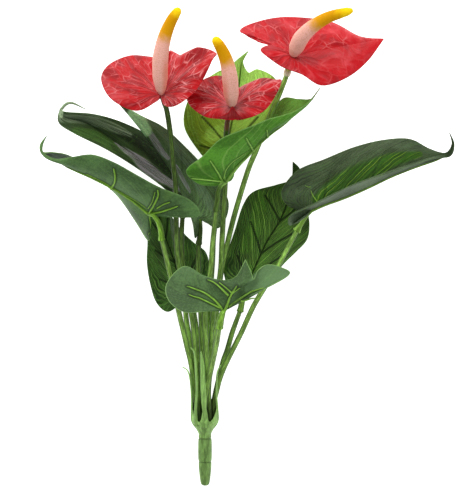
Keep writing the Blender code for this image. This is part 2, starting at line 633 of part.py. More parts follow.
def turned(name, start, end, profile, sides, colour):
    """A body of revolution about the line from start to end; profile is (share of the way, radius in mm)."""
    shares = np.array([share for share, _ in profile])[:, None]
    radii = np.array([radius for _, radius in profile]) * MM
    ends = place([start, end])
    path = ends[0] + (ends[1] - ends[0]) * shares
    first, second = frames(ends, (1, 0, 0))
    turn = 2 * math.pi * np.arange(sides) / sides
    ring = np.cos(turn)[:, None] * first[0] + np.sin(turn)[:, None] * second[0]
    points = path[:, None, :] + ring[None, :, :] * radii[:, None, None]
    faces = []
    for level in range(len(path) - 1):
        for spot in range(sides):
            beside = (spot + 1) % sides
            a, b = level * sides + spot, level * sides + beside
            faces.append((a, b, b + sides, a + sides))
    faces.append(tuple(range(sides))[::-1])
    faces.append(tuple(range((len(path) - 1) * sides, len(path) * sides)))
    return mesh_object(name, points.reshape(-1, 3), faces, colour)


def seat(shape, distance):
    """The point at a distance (m) over the attachment of a sheet, on its top side."""
    points, normals, index, _ = sheet(shape)
    spot = index[0, 0]
    return points[spot] + normals[spot] * distance


def stem_path(label, points):
    """The centre line of one stem, from the dish floor to its seat under a collar or a spathe."""
    path = place(points)
    foot_end, foot_rim = place([FOOT_END, FOOT_RIM])
    axis = (foot_rim - foot_end) / np.linalg.norm(foot_rim - foot_end)
    level = foot_end + (foot_rim - foot_end) * (1 - DISH_DEPTH_SHARE) + axis * DISH_GAP
    path[0] -= axis * np.dot(path[0] - level, axis)
    kind, key = label.split("_")
    if kind == "flower":
        top = seat(SPATHES[key], -SPATHE_THICKNESS / 2 - BLOOM_GAP)
    else:
        petiole = place(LEAVES[key]["petiole"], LEAVES[key].get("sink", 0.0))
        run = petiole[-1] - petiole[-2]
        top = petiole[-1] + run / np.linalg.norm(run) * COLLAR_GAP
    return along(np.vstack([path, top]), np.linspace(0, 1, STEM_RINGS))


def foot():
    dish_floor = 1 - DISH_DEPTH_SHARE
    profile = FOOT_PROFILE + ((1.0, DISH_RADIUS), (dish_floor, DISH_RADIUS - 0.4))
    body = turned("foot", FOOT_END, FOOT_RIM, profile, FOOT_SIDES, FOOT_GREEN)
    sheaths = []
    for label, rib in SHEATHS.items():
        steps = np.linspace(0, 1, 9)
        path = along(place(rib["path"]), steps)
        widths = along(rib["width"], steps)[:, 0] * MM / 2
        depths = along(rib["depth"], steps)[:, 0] * MM / 2
        sheaths.append(tube(f"sheath_{label}", path, widths, depths, 8, FOOT_GREEN, rib["side"]))
    return join(body, sheaths)


def build():
    for thing in list(bpy.data.objects):
        bpy.data.objects.remove(thing, do_unlink=True)
    foot()
    for label, points in STEMS.items():
        path = stem_path(label, points)
        share = np.linspace(0, 1, len(path))
        radii = np.interp(share, STEM_SHARES, STEM_RADII)
        tube(f"stem_{label}", path, radii, radii, STEM_SIDES, STEM_GREEN)
    for label, leaf in LEAVES.items():
        thick_sheet(f"blade_{label}", leaf, BLADE_THICKNESS, leaf["colour"])
        rib_moulding(f"ribs_{label}", leaf)
    for label, spathe in SPATHES.items():
        thick_sheet(f"spathe_{label}", spathe, SPATHE_THICKNESS, SPATHE_RED)
    for label, points in SPADICES.items():
        shares, radii = np.array(SPADIX_PROFILE).T
        base = seat(SPATHES[label], SPATHE_THICKNESS / 2 + BLOOM_GAP)
        path = along(np.vstack([base, place(points)]), shares)
        radii = radii * MM
        tube(f"spadix_{label}", path, radii, radii, SPADIX_SIDES, SPADIX_PINK)


build()
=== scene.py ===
"""Dresses the artificial anthurium spray: printed blades, rib mouldings, stalks, blooms, foot and stage.

Each piece is a surface worked out on a grid. Its points follow the same named stations as the part's source:
photo x and photo y in pixels, and the height over the floor in millimetres.
"""

import math

import bpy
import numpy as np
from bpy.props import FloatProperty, FloatVectorProperty, IntProperty, PointerProperty
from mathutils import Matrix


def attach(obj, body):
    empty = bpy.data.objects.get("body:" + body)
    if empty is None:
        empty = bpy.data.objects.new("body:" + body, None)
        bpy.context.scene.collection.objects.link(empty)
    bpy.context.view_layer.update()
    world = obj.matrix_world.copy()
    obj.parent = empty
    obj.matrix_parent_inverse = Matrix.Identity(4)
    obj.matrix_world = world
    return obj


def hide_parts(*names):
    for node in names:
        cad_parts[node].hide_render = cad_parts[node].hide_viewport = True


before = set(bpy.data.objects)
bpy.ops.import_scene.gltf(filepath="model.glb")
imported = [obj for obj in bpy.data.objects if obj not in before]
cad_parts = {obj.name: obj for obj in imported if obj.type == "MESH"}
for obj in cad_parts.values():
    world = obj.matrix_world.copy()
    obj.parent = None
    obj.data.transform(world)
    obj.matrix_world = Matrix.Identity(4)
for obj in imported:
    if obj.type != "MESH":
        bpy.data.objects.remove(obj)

bl_info = {
    "name": "Anthurium spray",
    "version": (1, 0, 0),
    "blender": (4, 5, 0),
    "location": "View3D > Sidebar > Spray",
    "description": "Builds the finished pieces of an artificial anthurium spray over its solids",
    "category": "Object",
}

MM = 0.001
PIXEL = 0.729 * MM
CENTRE_X_PX = 247.27
CENTRE_Y_PX = 246.98
PHOTO_HEIGHT_PX = 487
PHOTO_MIDDLE = (228.2, 243.2, 60.0)
SENSOR_WIDTH = 36.0  # of the camera, in mm

# Mesh steps: rows between two stations and columns from middle to margin, rings along a tube and columns
# round it, and points along a line that is laid on a blade.
SPATHE_GRID = (24, 24)
FOLD_GRID = (10, 10)
RIB_GRID = (8, 12)
BLOOM_SEAT_GRID = (8, 12)
STEM_SEAT_GRID = (4, 6)
RIB_SIDES = 14
TOP_RIB_SIDES = 10
STEM_SIDES = 20
SHEATH_SIDES = 20
SPADIX_SIDES = 110
LONG_RINGS = 160
MIDDLE_RINGS = 80
SHORT_RINGS = 60
WALL_RINGS = 14
LINE_STEPS = 40

# Leaves. "mid" runs from the attachment to the tip. "left" and "right" are the two margins, seen on the
# top face with the tip away, from the attachment round the basal lobe to the tip. The first margin points
# fan out from the attachment; after them, each margin point faces one midrib point. "bulge" (mm) lifts
# each half between midrib and margin towards the top face. Side ribs are given as (row at which the rib
# leaves the midrib, rows that it advances per column, columns that it reaches across), on a coarse grid
# of ROWS_COUNTED rows between two stations and COLUMNS_COUNTED columns on each half. "midrib_end" is the
# row where the midrib stops, and "sink" lets the whole leaf down (mm) to rest on the floor.
ROWS_COUNTED = 2
COLUMNS_COUNTED = 3
LEAVES = {
    "a": {
        "mid": [
            (148.7, 213.0, 56), (133.6, 200.2, 58), (115.2, 188.6, 60), (94.4, 178.0, 61),
            (72.6, 168.4, 59), (54, 159.6, 54), (43.5, 152.0, 50), (41.9, 144.5, 48), (47, 135, 48),
        ],
        "left": [
            (148.7, 213.6, 56), (170, 216.8, 63), (199, 215.6, 69), (191, 200.4, 73), (160, 187.2, 76),
            (138, 175.4, 78), (115, 162.6, 78), (93, 154.6, 74), (71.5, 156.9, 66), (56, 158.6, 57),
            (43.9, 152.6, 51), (43.0, 144.6, 49), (47, 135, 48),
        ],
        "right": [
            (148.7, 213.6, 56), (149.8, 224, 49), (150.2, 233, 42), (147.8, 239.8, 36), (136, 221.5, 38),
            (121, 199.5, 42), (104, 180, 44), (86, 165, 46), (68, 154.6, 48), (53, 151.8, 49),
            (42.8, 151.4, 49), (40.8, 144.4, 47), (47, 135, 48),
        ],
        "bulge": -2.0, "midrib_end": 17,
        "petiole": [(153.2, 214.8, 61), (158.5, 222, 59), (161.4, 233, 54), (161.8, 240, 52)],
    },
    "b": {
        "mid": [
            (189, 196, 25), (169, 178, 26), (145, 162.5, 27), (116, 143, 29), (88.2, 123.3, 30),
            (67, 116.5, 30), (61.8, 108, 30), (70.5, 102.2, 30), (86.3, 108.8, 31),
        ],
        "left": [
            (189, 196, 25), (191, 202, 27), (189, 208, 28), (181, 205.5, 30), (165.7, 189, 31),
            (136.6, 167.6, 34), (106, 148.8, 40), (75, 133.4, 40), (58.6, 122, 35), (60.6, 107.8, 30.5),
            (70.3, 101.2, 30.5), (86.3, 108.8, 31),
        ],
        "right": [
            (189, 196, 25), (196, 194, 24), (197, 186, 22), (189, 172, 20), (169.4, 152, 20),
            (145.4, 133.2, 24), (119.8, 120.8, 34), (93, 113.5, 38), (66, 111.4, 35), (63, 108.4, 30.5),
            (70.8, 103.2, 30), (86.3, 108.8, 31),
        ],
        "bulge": 2.0, "midrib_end": 15,
        "left_ribs": ((6, 1, 2), (9, 1, 2)),
        "right_ribs": ((6, 1, 2), (9, 1, 2)),
        "petiole": [(187.5, 201, 23), (184.5, 209, 21.5), (182, 218, 20.5)],
    },
    "c": {
        "mid": [
            (199, 217, 40), (193, 197, 38), (182, 175, 37), (169, 157, 37), (155, 139, 38), (138, 119, 38),
            (117, 101, 38),
        ],
        "left": [
            (199, 217, 40), (198.4, 229, 38), (195.4, 237.6, 36), (192.6, 221, 34), (183, 196, 32),
            (175, 177, 31), (164, 160, 31), (150, 141, 32), (131, 117.5, 35), (117, 101, 38),
        ],
        "right": [
            (199, 217, 40), (206, 222, 41), (219, 227.5, 42), (228, 212, 42), (226, 194, 41),
            (206, 168.5, 40), (187, 148, 40), (164, 127, 40), (140, 114.5, 39), (117, 101, 38),
        ],
        "bulge": 1.5,
        "left_ribs": ((7, 1, 2), (10, 1, 2)),
        "right_ribs": ((5, 0, 1), (7, 1, 2), (10, 1, 2)),
        "petiole": [(200.4, 221, 38), (200.4, 231, 36), (198.9, 244, 34)],
    },
    "d": {
        "mid": [
            (182, 288, 15), (177, 271, 9.5), (171.5, 254, 5.2), (165.5, 238, 3.4), (160, 221, 3.4),
            (155.5, 205, 5), (152.5, 188, 9),
        ],
        "left": [
            (182, 288, 15), (180, 302, 17), (168, 311.6, 20), (156.6, 302.6, 22), (150.3, 284, 23),
            (147.0, 262, 22), (147.6, 243, 19), (147.2, 224, 15), (148.4, 206, 11), (152.5, 188, 9),
        ],
        "right": [
            (182, 288, 15), (190, 300, 14), (204, 291, 12), (209.5, 271, 10), (206, 252.5, 8.5),
            (194, 242.5, 7.5), (183, 232, 7.2), (172, 217, 7), (161, 201, 7), (152.5, 188, 9),
        ],
        "bulge": 1.0, "sink": 0.956,
        "left_ribs": ((4, 0, 2), (6, 1, 2), (9, 1, 2), (12, 1, 2)),
        "right_ribs": ((4, 0, 2), (6, 1, 2), (9, 1, 2), (12, 1, 2)),
        "petiole": [(183.2, 292, 12.2), (184.4, 299, 11.2), (185.4, 306, 11.6)],
    },
    "e": {
        "mid": [
            (225, 310, 68), (228.5, 301, 71), (232, 293, 73), (237, 285.5, 73.5), (241.5, 276, 71),
            (245.7, 259.2, 66),
        ],
        "left": [
            (225, 310, 68), (243, 300.8, 67.4), (267.6, 287.2, 66), (290, 273.5, 61), (279, 266.2, 60),
            (267, 264.4, 62), (258.4, 270, 66), (254.2, 278.8, 70), (251, 271, 69), (245.7, 259.2, 66),
        ],
        "right": [
            (225, 310, 68), (203, 311.3, 69), (183, 311.3, 68), (168.5, 299.5, 64), (167, 283, 60),
            (184, 266, 60), (203, 275, 64), (223, 280, 69), (236.5, 276, 70), (245.7, 259.2, 66),
        ],
        "bulge": -0.8, "midrib_end": 14,
        "petiole": [(222.6, 313, 69), (220.6, 320, 67), (219.4, 328, 64)],
    },
    "f": {
        "mid": [
            (248, 283, 17), (256, 266, 11), (267, 242, 5.4), (280, 221, 3.4), (288, 202, 3.4),
            (292, 185, 4.6), (294.2, 171.5, 6.4), (293.2, 160.8, 9),
        ],
        "left": [
            (248, 283, 17), (241, 291, 18), (229, 287, 17.5), (223.8, 269, 16), (228, 251, 13),
            (235.2, 230, 10), (243.4, 204.6, 8.5), (254.2, 191, 8), (277, 184.2, 7.5), (291.2, 178.8, 7),
            (293.2, 160.8, 9),
        ],
        "right": [
            (248, 283, 17), (254, 291, 18), (269, 283, 18), (283, 265, 17), (297, 251, 15),
            (307.5, 239, 12), (309.8, 223, 10), (307, 204, 8.5), (305, 184, 8), (300.4, 168.6, 8),
            (293.2, 160.8, 9),
        ],
        "bulge": 1.0, "sink": 0.771,
        "left_ribs": ((4, 0, 2), (6, 1, 2), (9, 1, 2), (12, 1, 2)),
        "right_ribs": ((4, 0, 2), (6, 1, 2), (9, 1, 2), (12, 1, 2)),
        "petiole": [(245, 291, 16.5), (242.6, 301, 16.5), (240.2, 312, 16.5)],
    },
    "g": {
        "mid": [
            (311, 209.8, 45), (325, 203.8, 46), (345, 196.7, 47), (368.6, 186.6, 47), (391.6, 175.8, 46),
            (415, 166.8, 44), (436, 159.8, 42), (449.5, 154.6, 40), (453.7, 143.5, 39), (450, 131.8, 39),
        ],
        "left": [
            (311, 209.8, 45), (302, 208.4, 43), (288.6, 205.4, 41), (281.8, 191.2, 39), (297.5, 170.4, 38),
            (325, 158.8, 37), (355, 146.6, 36), (384, 139.6, 36), (410, 138.6, 37), (429.4, 148.1, 38),
            (445.5, 152.6, 39), (452.6, 143.3, 38.5), (450, 131.8, 39),
        ],
        "right": [
            (311, 209.8, 45), (303, 216.6, 54), (290.4, 225, 61), (290.6, 215.6, 66), (311.5, 205.6, 71),
            (335.5, 193, 72), (358, 182.8, 71), (384, 174.2, 66), (412, 164.6, 58), (434, 158.2, 49),
            (450.8, 155.8, 41), (454.8, 143.7, 39.5), (450, 131.8, 39),
        ],
        "bulge": 2.0, "midrib_end": 19,
        "left_ribs": ((8, 1, 2), (12, 1, 2)),
        "right_ribs": (),
        "petiole": [(307.5, 215, 43), (302.5, 222, 42), (296.6, 231, 41)],
    },
    "h": {
        "mid": [
            (225.4, 181.8, 62), (236, 167, 64), (249.2, 153.3, 66), (259.8, 142.3, 67), (271.4, 132.2, 67),
            (284, 123.3, 66), (295.2, 113.2, 64), (307.4, 103.2, 61), (320.2, 87.7, 57),
        ],
        "left": [
            (225.4, 181.8, 62), (231, 180, 60), (234, 174, 58), (233, 166, 56), (240, 158, 56),
            (249, 149, 56), (257, 140, 57), (263, 130, 58), (271, 118.5, 58), (282.5, 98.5, 58),
            (299, 98.8, 59), (311.5, 98.2, 59), (320.2, 87.7, 57),
        ],
        "right": [
            (225.4, 181.8, 62), (215, 185.2, 64), (198, 183, 68), (186.5, 170.5, 72), (203, 156, 80),
            (220, 139.5, 84), (241, 130.3, 86), (256, 124.5, 86), (269, 119, 84), (284, 115, 79),
            (297, 110, 72), (309, 101.4, 64), (320.2, 87.7, 57),
        ],
        "bulge": -2.0,
        "petiole": [(221.6, 184.2, 68.6), (218.6, 191, 65.6), (217.6, 200, 63), (216.2, 211, 60)],
    },
    "i": {
        "mid": [
            (228, 142, 13), (230.5, 129, 8.5), (233, 117, 5.2), (236, 102, 3.6), (239, 86, 3.4),
            (240.8, 72, 4.6), (243, 60.6, 6.2), (248.7, 49.8, 8.5),
        ],
        "left": [
            (228, 142, 13), (221, 155, 15), (209, 160, 16), (196.3, 147, 15), (184.5, 126, 13),
            (186.5, 104, 11), (199, 85, 9), (215, 72.5, 8), (229, 66, 7.5), (238.6, 57.6, 7.6),
            (248.7, 49.8, 8.5),
        ],
        "right": [
            (228, 142, 13), (234, 152, 14), (245, 150, 15), (258, 137, 14), (271, 121, 12), (280, 101, 10),
            (275.8, 78.4, 9), (258.4, 68.4, 8), (248.9, 71.6, 7.6), (243.3, 60.8, 7.2), (248.7, 49.8, 8.5),
        ],
        "bulge": 1.0, "sink": 0.975,
        "petiole": [(227, 149, 12), (226, 158, 11), (225.4, 168, 10.5)],
    },
}

# Spathes: the same kind of surface, from the foot of the spadix to the tip of the heart. "wave" is the
# height (mm) of the ripples along the margin, and RIPPLES is how many there are.
RIPPLES = 4.0
SPATHES = {
    "1": {
        "mid": [(161.7, 95, 90), (164, 84, 81), (166.5, 72, 73), (169, 61, 66), (171, 50.2, 60)],
        "left": [
            (161.7, 95, 90), (155, 103.2, 94), (135, 110.2, 95), (112, 99.6, 92), (101.8, 79, 86),
            (109.6, 65, 79), (130, 55.2, 72), (155, 57.5, 65), (171, 50.2, 60),
        ],
        "right": [
            (161.7, 95, 90), (165, 105, 94), (178, 105.2, 96), (196, 90, 95), (212, 62.5, 90),
            (215.8, 52.5, 82), (199.5, 47.9, 75), (183.5, 55, 66), (171, 50.2, 60),
        ],
        "bulge": 2.0, "wave": 0.8,
    },
    "2": {
        "mid": [(232.2, 107.2, 76), (234, 102, 71), (236, 97, 66), (238, 92, 61), (239.5, 88, 56)],
        "left": [
            (232.2, 107.2, 76), (229.4, 118.8, 78), (218.4, 118.2, 80), (203.4, 116, 81),
            (190.8, 105.5, 79), (187.4, 95, 75), (196, 85, 69), (208, 77.3, 63), (225, 77.2, 58),
            (239.5, 88, 56),
        ],
        "right": [
            (232.2, 107.2, 76), (235, 118.8, 78), (245.6, 118.6, 80), (257.6, 114.6, 81),
            (270.5, 103.5, 79), (281.8, 82, 76), (274, 78.8, 70), (262, 79, 64), (250, 82.2, 59),
            (239.5, 88, 56),
        ],
        "bulge": 2.0, "wave": 0.8,
    },
    "3": {
        "mid": [(293, 56, 72), (316, 51.5, 70), (339, 47, 67), (362, 42.5, 62), (384.2, 38.6, 56)],
        "left": [
            (293, 56, 72), (275, 46.8, 71), (257, 39.8, 69), (240.4, 32.2, 65), (250.4, 23.6, 60),
            (285, 17.4, 56), (328, 20.2, 54), (358, 35.8, 55), (384.2, 38.6, 56),
        ],
        "right": [
            (293, 56, 72), (275, 44.6, 71.0), (260.6, 50.9, 77.6), (279, 64.2, 80.6), (301, 74.6, 82),
            (322, 84.8, 82), (349, 76.6, 78), (368.4, 59.8, 70), (384.2, 38.6, 56),
        ],
        "bulge": 2.0, "wave": 0.8,
    },
}

# The small fold in front of the middle spadix, from its left end to its right end. Its middle line is the
# crest. It is deep red in painted shade, turning red towards its edges.
FOLDS = {
    "2": {
        "mid": [
            (217.9, 117.5, 80.6), (225, 116.8, 80.8), (229.3, 115.4, 80.9), (232.6, 113.4, 81.2),
            (235.8, 114.6, 80.9), (238.9, 116.4, 80.8), (243.2, 117.8, 80.6),
        ],
        "left": [
            (217.9, 117.5, 80.6), (224.9, 114.3, 80.9), (229.1, 111.5, 81.4), (232.6, 106.2, 82.6),
            (235.6, 110.1, 81.4), (238.9, 114.3, 80.9), (243.2, 117.8, 80.6),
        ],
        "right": [
            (217.9, 117.5, 80.6), (224.9, 119.2, 80.2), (229, 119.6, 79.8), (232.5, 119.9, 79.6),
            (236, 119.4, 79.8), (239.5, 118.9, 80.2), (243.2, 117.8, 80.6),
        ],
    },
}

# Spadices: the centre line after its foot, which sits on the spathe. The profile holds pairs of the share
# of the way and the radius (mm).
SPADIX_PROFILE = (
    (0.0, 1.3), (0.06, 4.0), (0.17, 5.8), (0.36, 6.0), (0.56, 5.3), (0.74, 4.6), (0.88, 4.0), (0.96, 3.2),
    (1.0, 1.4),
)
SPADICES = {
    "1": [(160.6, 75, 103.5), (161.2, 56, 111.5), (165, 38, 116), (171.5, 22, 119), (180, 8.6, 120.5)],
    "2": [(231.2, 91.5, 90), (229.8, 76, 98), (226.6, 61, 102.5), (221.2, 48.5, 106), (214.2, 37.6, 108)],
    "3": [(297.4, 45.4, 84.6), (302.5, 36.5, 94), (313, 26.6, 101), (329, 17.4, 107), (352.8, 10.6, 110)],
}
BUMP_ROWS = 11  # rows of bumps round a spadix, each way
TIP_SHARE = 0.07  # of its length, in which its tip rounds off
PINK_SPECKLE = (0.55, 0.25, 0.12)
GOLD_SPECKLE = (0.50, 0.17, 0.0)
# Painted shade in the pits between a spadix's bumps.
PIT_SHADE = (0.50, 0.18, 0.08)

# Stems, from the dish of the foot up. The lower end is moved on to the dish floor, and the upper end,
# which isn't listed, is computed: just under the leaf's collar or the spathe.
STEMS = {
    "flower_1": [
        (199.5, 420.6, 17.9), (198.6, 400, 19.5), (194.8, 345, 27), (190.8, 311, 33), (178.5, 262, 42),
        (176.3, 218, 49), (175.6, 185, 56), (173.3, 163, 61), (171.2, 138.5, 68), (167.4, 112, 79),
        (164.4, 103, 84.5),
    ],
    "flower_2": [
        (207.5, 420.6, 14.2), (208.5, 400, 16), (211, 345, 21), (214, 311, 26.5), (220.5, 272, 37),
        (222.2, 240, 45), (223.6, 215, 49), (225.3, 185, 52), (226, 160, 53), (226.2, 140, 56),
        (227.6, 122, 65), (230, 114, 70.5),
    ],
    "flower_3": [
        (205, 420.6, 11), (207.6, 400, 11.6), (213.2, 345, 13.5), (217, 311, 15.5), (221.5, 272, 19),
        (229, 237, 27), (236.5, 208, 33), (248.2, 170, 42), (256.5, 150, 46), (264.4, 130, 49),
        (271.2, 113, 52), (278.2, 97, 56), (285, 80, 60), (288.6, 69, 64.5),
    ],
    "leaf_a": [
        (197.0, 420.6, 14.2), (195.6, 400, 16), (191.4, 366, 22.4), (186.6, 345, 27.5), (178.8, 311, 36),
        (168, 264, 46),
    ],
    "leaf_b": [
        (202.1, 419.4, 7.8), (201, 400, 8.2), (197.8, 345, 12), (193.6, 311, 16), (182.7, 262, 20),
        (181.6, 240, 20.5),
    ],
    "leaf_c": [
        (202.5, 420.6, 14.2), (202.8, 400, 15.5), (202, 345, 22), (200.8, 311, 26), (198.4, 267, 31),
    ],
    "leaf_d": [(197.6, 420.6, 10), (196.5, 400, 10.4), (190.4, 345, 11.6), (186.6, 321, 11.8)],
    "leaf_e": [
        (205, 420.6, 18.7), (205.4, 400, 22.9), (208, 385, 27.5), (212.4, 364, 38), (216.8, 343, 53),
    ],
    "leaf_f": [
        (212.4, 420.6, 10), (214.2, 400, 10.5), (222.6, 364, 12), (227.4, 350, 13.2), (232.6, 332, 14.6),
    ],
    "leaf_g": [
        (212.9, 420.6, 14.2), (214.4, 403, 15), (217.4, 389, 16.2), (220.6, 377, 17.8), (226.8, 362, 20.8),
        (241.8, 332, 27), (255.4, 303, 32), (278, 266, 37),
    ],
    "leaf_h": [
        (210.5, 420.6, 17.9), (209, 400, 20.5), (206.2, 345, 29), (205, 311, 36), (210.7, 270, 45),
        (213.2, 240, 52.5),
    ],
    "leaf_i": [
        (207.9, 419.4, 7.8), (208.6, 400, 7.8), (208.6, 345, 7.5), (209.2, 311, 7.4), (212.6, 262, 7.6),
        (213.6, 238, 8.3), (216.6, 215, 8.8), (221, 190, 9.6),
    ],
}

# The bead under the right bloom: photo y of its middle, half its length in pixels, and its height (mm).
KNOBS = {"flower_3": (72.2, 3.6, 0.95)}

# The next tables paint light and shade on the stems, as factors on each stem's green: at its top, which
# counts as no lower than STALK_TOP, and at the first two of STALK_LEVELS, one set for each stem; and at the
# last two, the sheath and the cup, one set for all. Levels are photo y. ROSE_FADES says where a stem that
# is rose at its top turns green.
STALK_TOP = 240
STALK_LEVELS = (250, 320, 396, 412)
# Painted shade for all stems: none at the sheath, deep in the cup.
SHADE_BELOW = (1.0, 0.25)
ROSE_FADES = {"flower_2": (127, 130)}
# Painted light and shade: each stem darker where leaves and blooms shade it, lighter where it stands in the
# light.
STALK_LIGHT_AND_SHADE = {
    "flower_1": (0.26, 0.6, 1.3), "flower_2": (0.3, 0.95, 1.35), "flower_3": (1.8, 1.0, 1.4),
    "leaf_a": (0.9, 1.0, 1.4), "leaf_b": (0.35, 0.55, 1.2), "leaf_c": (0.25, 0.45, 1.1),
    "leaf_d": (0.9, 1.0, 1.35), "leaf_e": (1.5, 1.5, 1.4), "leaf_f": (0.65, 0.65, 0.9),
    "leaf_g": (1.6, 1.5, 1.35), "leaf_h": (0.9, 1.1, 1.4), "leaf_i": (0.35, 0.5, 1.1),
}

# Collars: radius (mm) at the petiole's top, a third of the way from its socket, and at the socket's
# mouth, and how strong the dark green painted shade on it is. COLLAR_LIP holds shares of the way from the
# mouth, and the lip's factor on the radius there.
COLLARS = {
    "a": (1.5, 2.1, 2.4, 0.0), "b": (1.5, 1.8, 2.2, 0.95), "c": (1.5, 1.9, 2.3, 0.95),
    "d": (1.5, 1.9, 2.3, 0.6), "e": (2.3, 2.9, 2.75, 0.0), "f": (1.6, 2.2, 2.5, 0.15),
    "g": (1.2, 1.7, 2.8, 0.0), "h": (1.7, 2.1, 2.3, 0.85), "i": (1.4, 1.8, 2.2, 0.6),
}
COLLAR_LIP = ((0, 0.02, 0.045, 0.09, 0.11), (0.93, 1.07, 1.09, 1.07, 1.0))

# The foot: its axis in the photo, and pairs of the share of the way and the outer radius (mm) along it,
# from the pick's end to the rim of the dish. JOINTS are the shares of the pick's dark rings.
FOOT_END = (205.2, 486.0, 2.79)
FOOT_RIM = (205.0, 418.5, 13.6)
FOOT_PROFILE = (
    (0.0, 1.4), (0.012, 2.6), (0.045, 3.3), (0.12, 3.9), (0.24, 4.5), (0.335, 4.7), (0.355, 4.35),
    (0.375, 4.8), (0.45, 5.05), (0.6, 5.05), (0.685, 4.85), (0.705, 4.4), (0.725, 4.7), (0.775, 4.7),
    (0.86, 6.9), (0.93, 8.9), (0.975, 10.0), (1.0, 10.1),
)
JOINTS = (0.355, 0.705)
DISH_RADIUS = 8.7
DISH_DEPTH_SHARE = 0.06  # of the foot's length, measured down from the rim
RIM_SHARE = 0.972  # where the rings leave the profile and turn over the rim

# Upper edge of the cup's wall: degrees round the foot from its front, and height (mm) over the rim.
WALL_EDGE = (
    (-180, 12.5), (-125, 12.5), (-104, 12.5), (-84, 10.2), (-62, 5.0), (-42, 1.0), (-26, -1.2), (-17, 0.6),
    (-11, 6.5), (-7, 9.5), (7, 9.5), (11, 6.0), (15, 0.6), (22, -1.2), (38, 1.0), (56, 5.0), (76, 9.8),
    (98, 12.0), (125, 12.5), (180, 12.5),
)
WALL_BELOW = 3.2  # how far under the rim the wall starts, in mm
WALL_LEAN = 0.045  # how much narrower the wall gets for each unit of height

# Sheath ribs: they start in the wall of the cup and end in thin tips along the stems. Widths and depths
# are in mm.
SHEATHS = {
    "left": {
        "path": [
            (198.6, 431, 13), (192.7, 421.5, 14.2), (192.1, 409, 16.8), (191.9, 396, 20),
            (190.4, 380, 23.5), (187.8, 370.8, 25.5), (182.4, 366.8, 26),
        ],
        "side": (0, 0, 1), "width": (4.4, 4.4, 4.0, 3.2, 2.4, 1.6, 0.9),
        "depth": (1.0, 2.0, 1.8, 1.6, 1.3, 1.0, 0.7),
    },
    "left_front": {
        "path": [
            (196.4, 426, 18.8), (195.8, 410, 22.6), (197, 391, 26.4), (196.3, 374, 29.8),
            (194.8, 353.8, 34), (191, 347.4, 36),
        ],
        "side": (1, 0, 1), "width": (4.0, 2.6, 2.2, 2.0, 1.6, 0.9), "depth": (2.2, 1.8, 1.4, 1.2, 1.0, 0.7),
    },
    "front": {
        "path": [
            (204.8, 428, 20.6), (204.6, 414, 24), (203.9, 400, 26.8), (203.2, 384, 29.6),
            (202.8, 368, 32.4), (201.2, 351.5, 36),
        ],
        "side": (1, 0, 0), "width": (6.0, 3.0, 4.0, 3.8, 3.2, 0.9), "depth": (2.4, 2.2, 1.6, 1.3, 1.1, 0.7),
    },
    "right": {
        "path": [
            (211.4, 431, 13), (217.3, 421.5, 14.2), (217.4, 409, 16.8), (216.5, 396, 20.4),
            (216.7, 382, 24.5), (217.8, 371.5, 28), (220.8, 365.4, 30),
        ],
        "side": (0, 0, 1), "width": (4.4, 4.4, 4.0, 3.2, 2.4, 1.6, 0.9),
        "depth": (1.0, 2.0, 1.8, 1.6, 1.3, 1.0, 0.7),
    },
    "back": {
        "path": [
            (205.4, 426, 4.4), (205.6, 408, 4.2), (206, 390, 3.6), (206.4, 372, 3.2), (206.8, 356, 3.0),
        ],
        "side": (1, 0, 0), "width": (5.0, 3.8, 3.4, 2.8, 0.9), "depth": (2.2, 1.6, 1.3, 1.1, 0.7),
    },
}
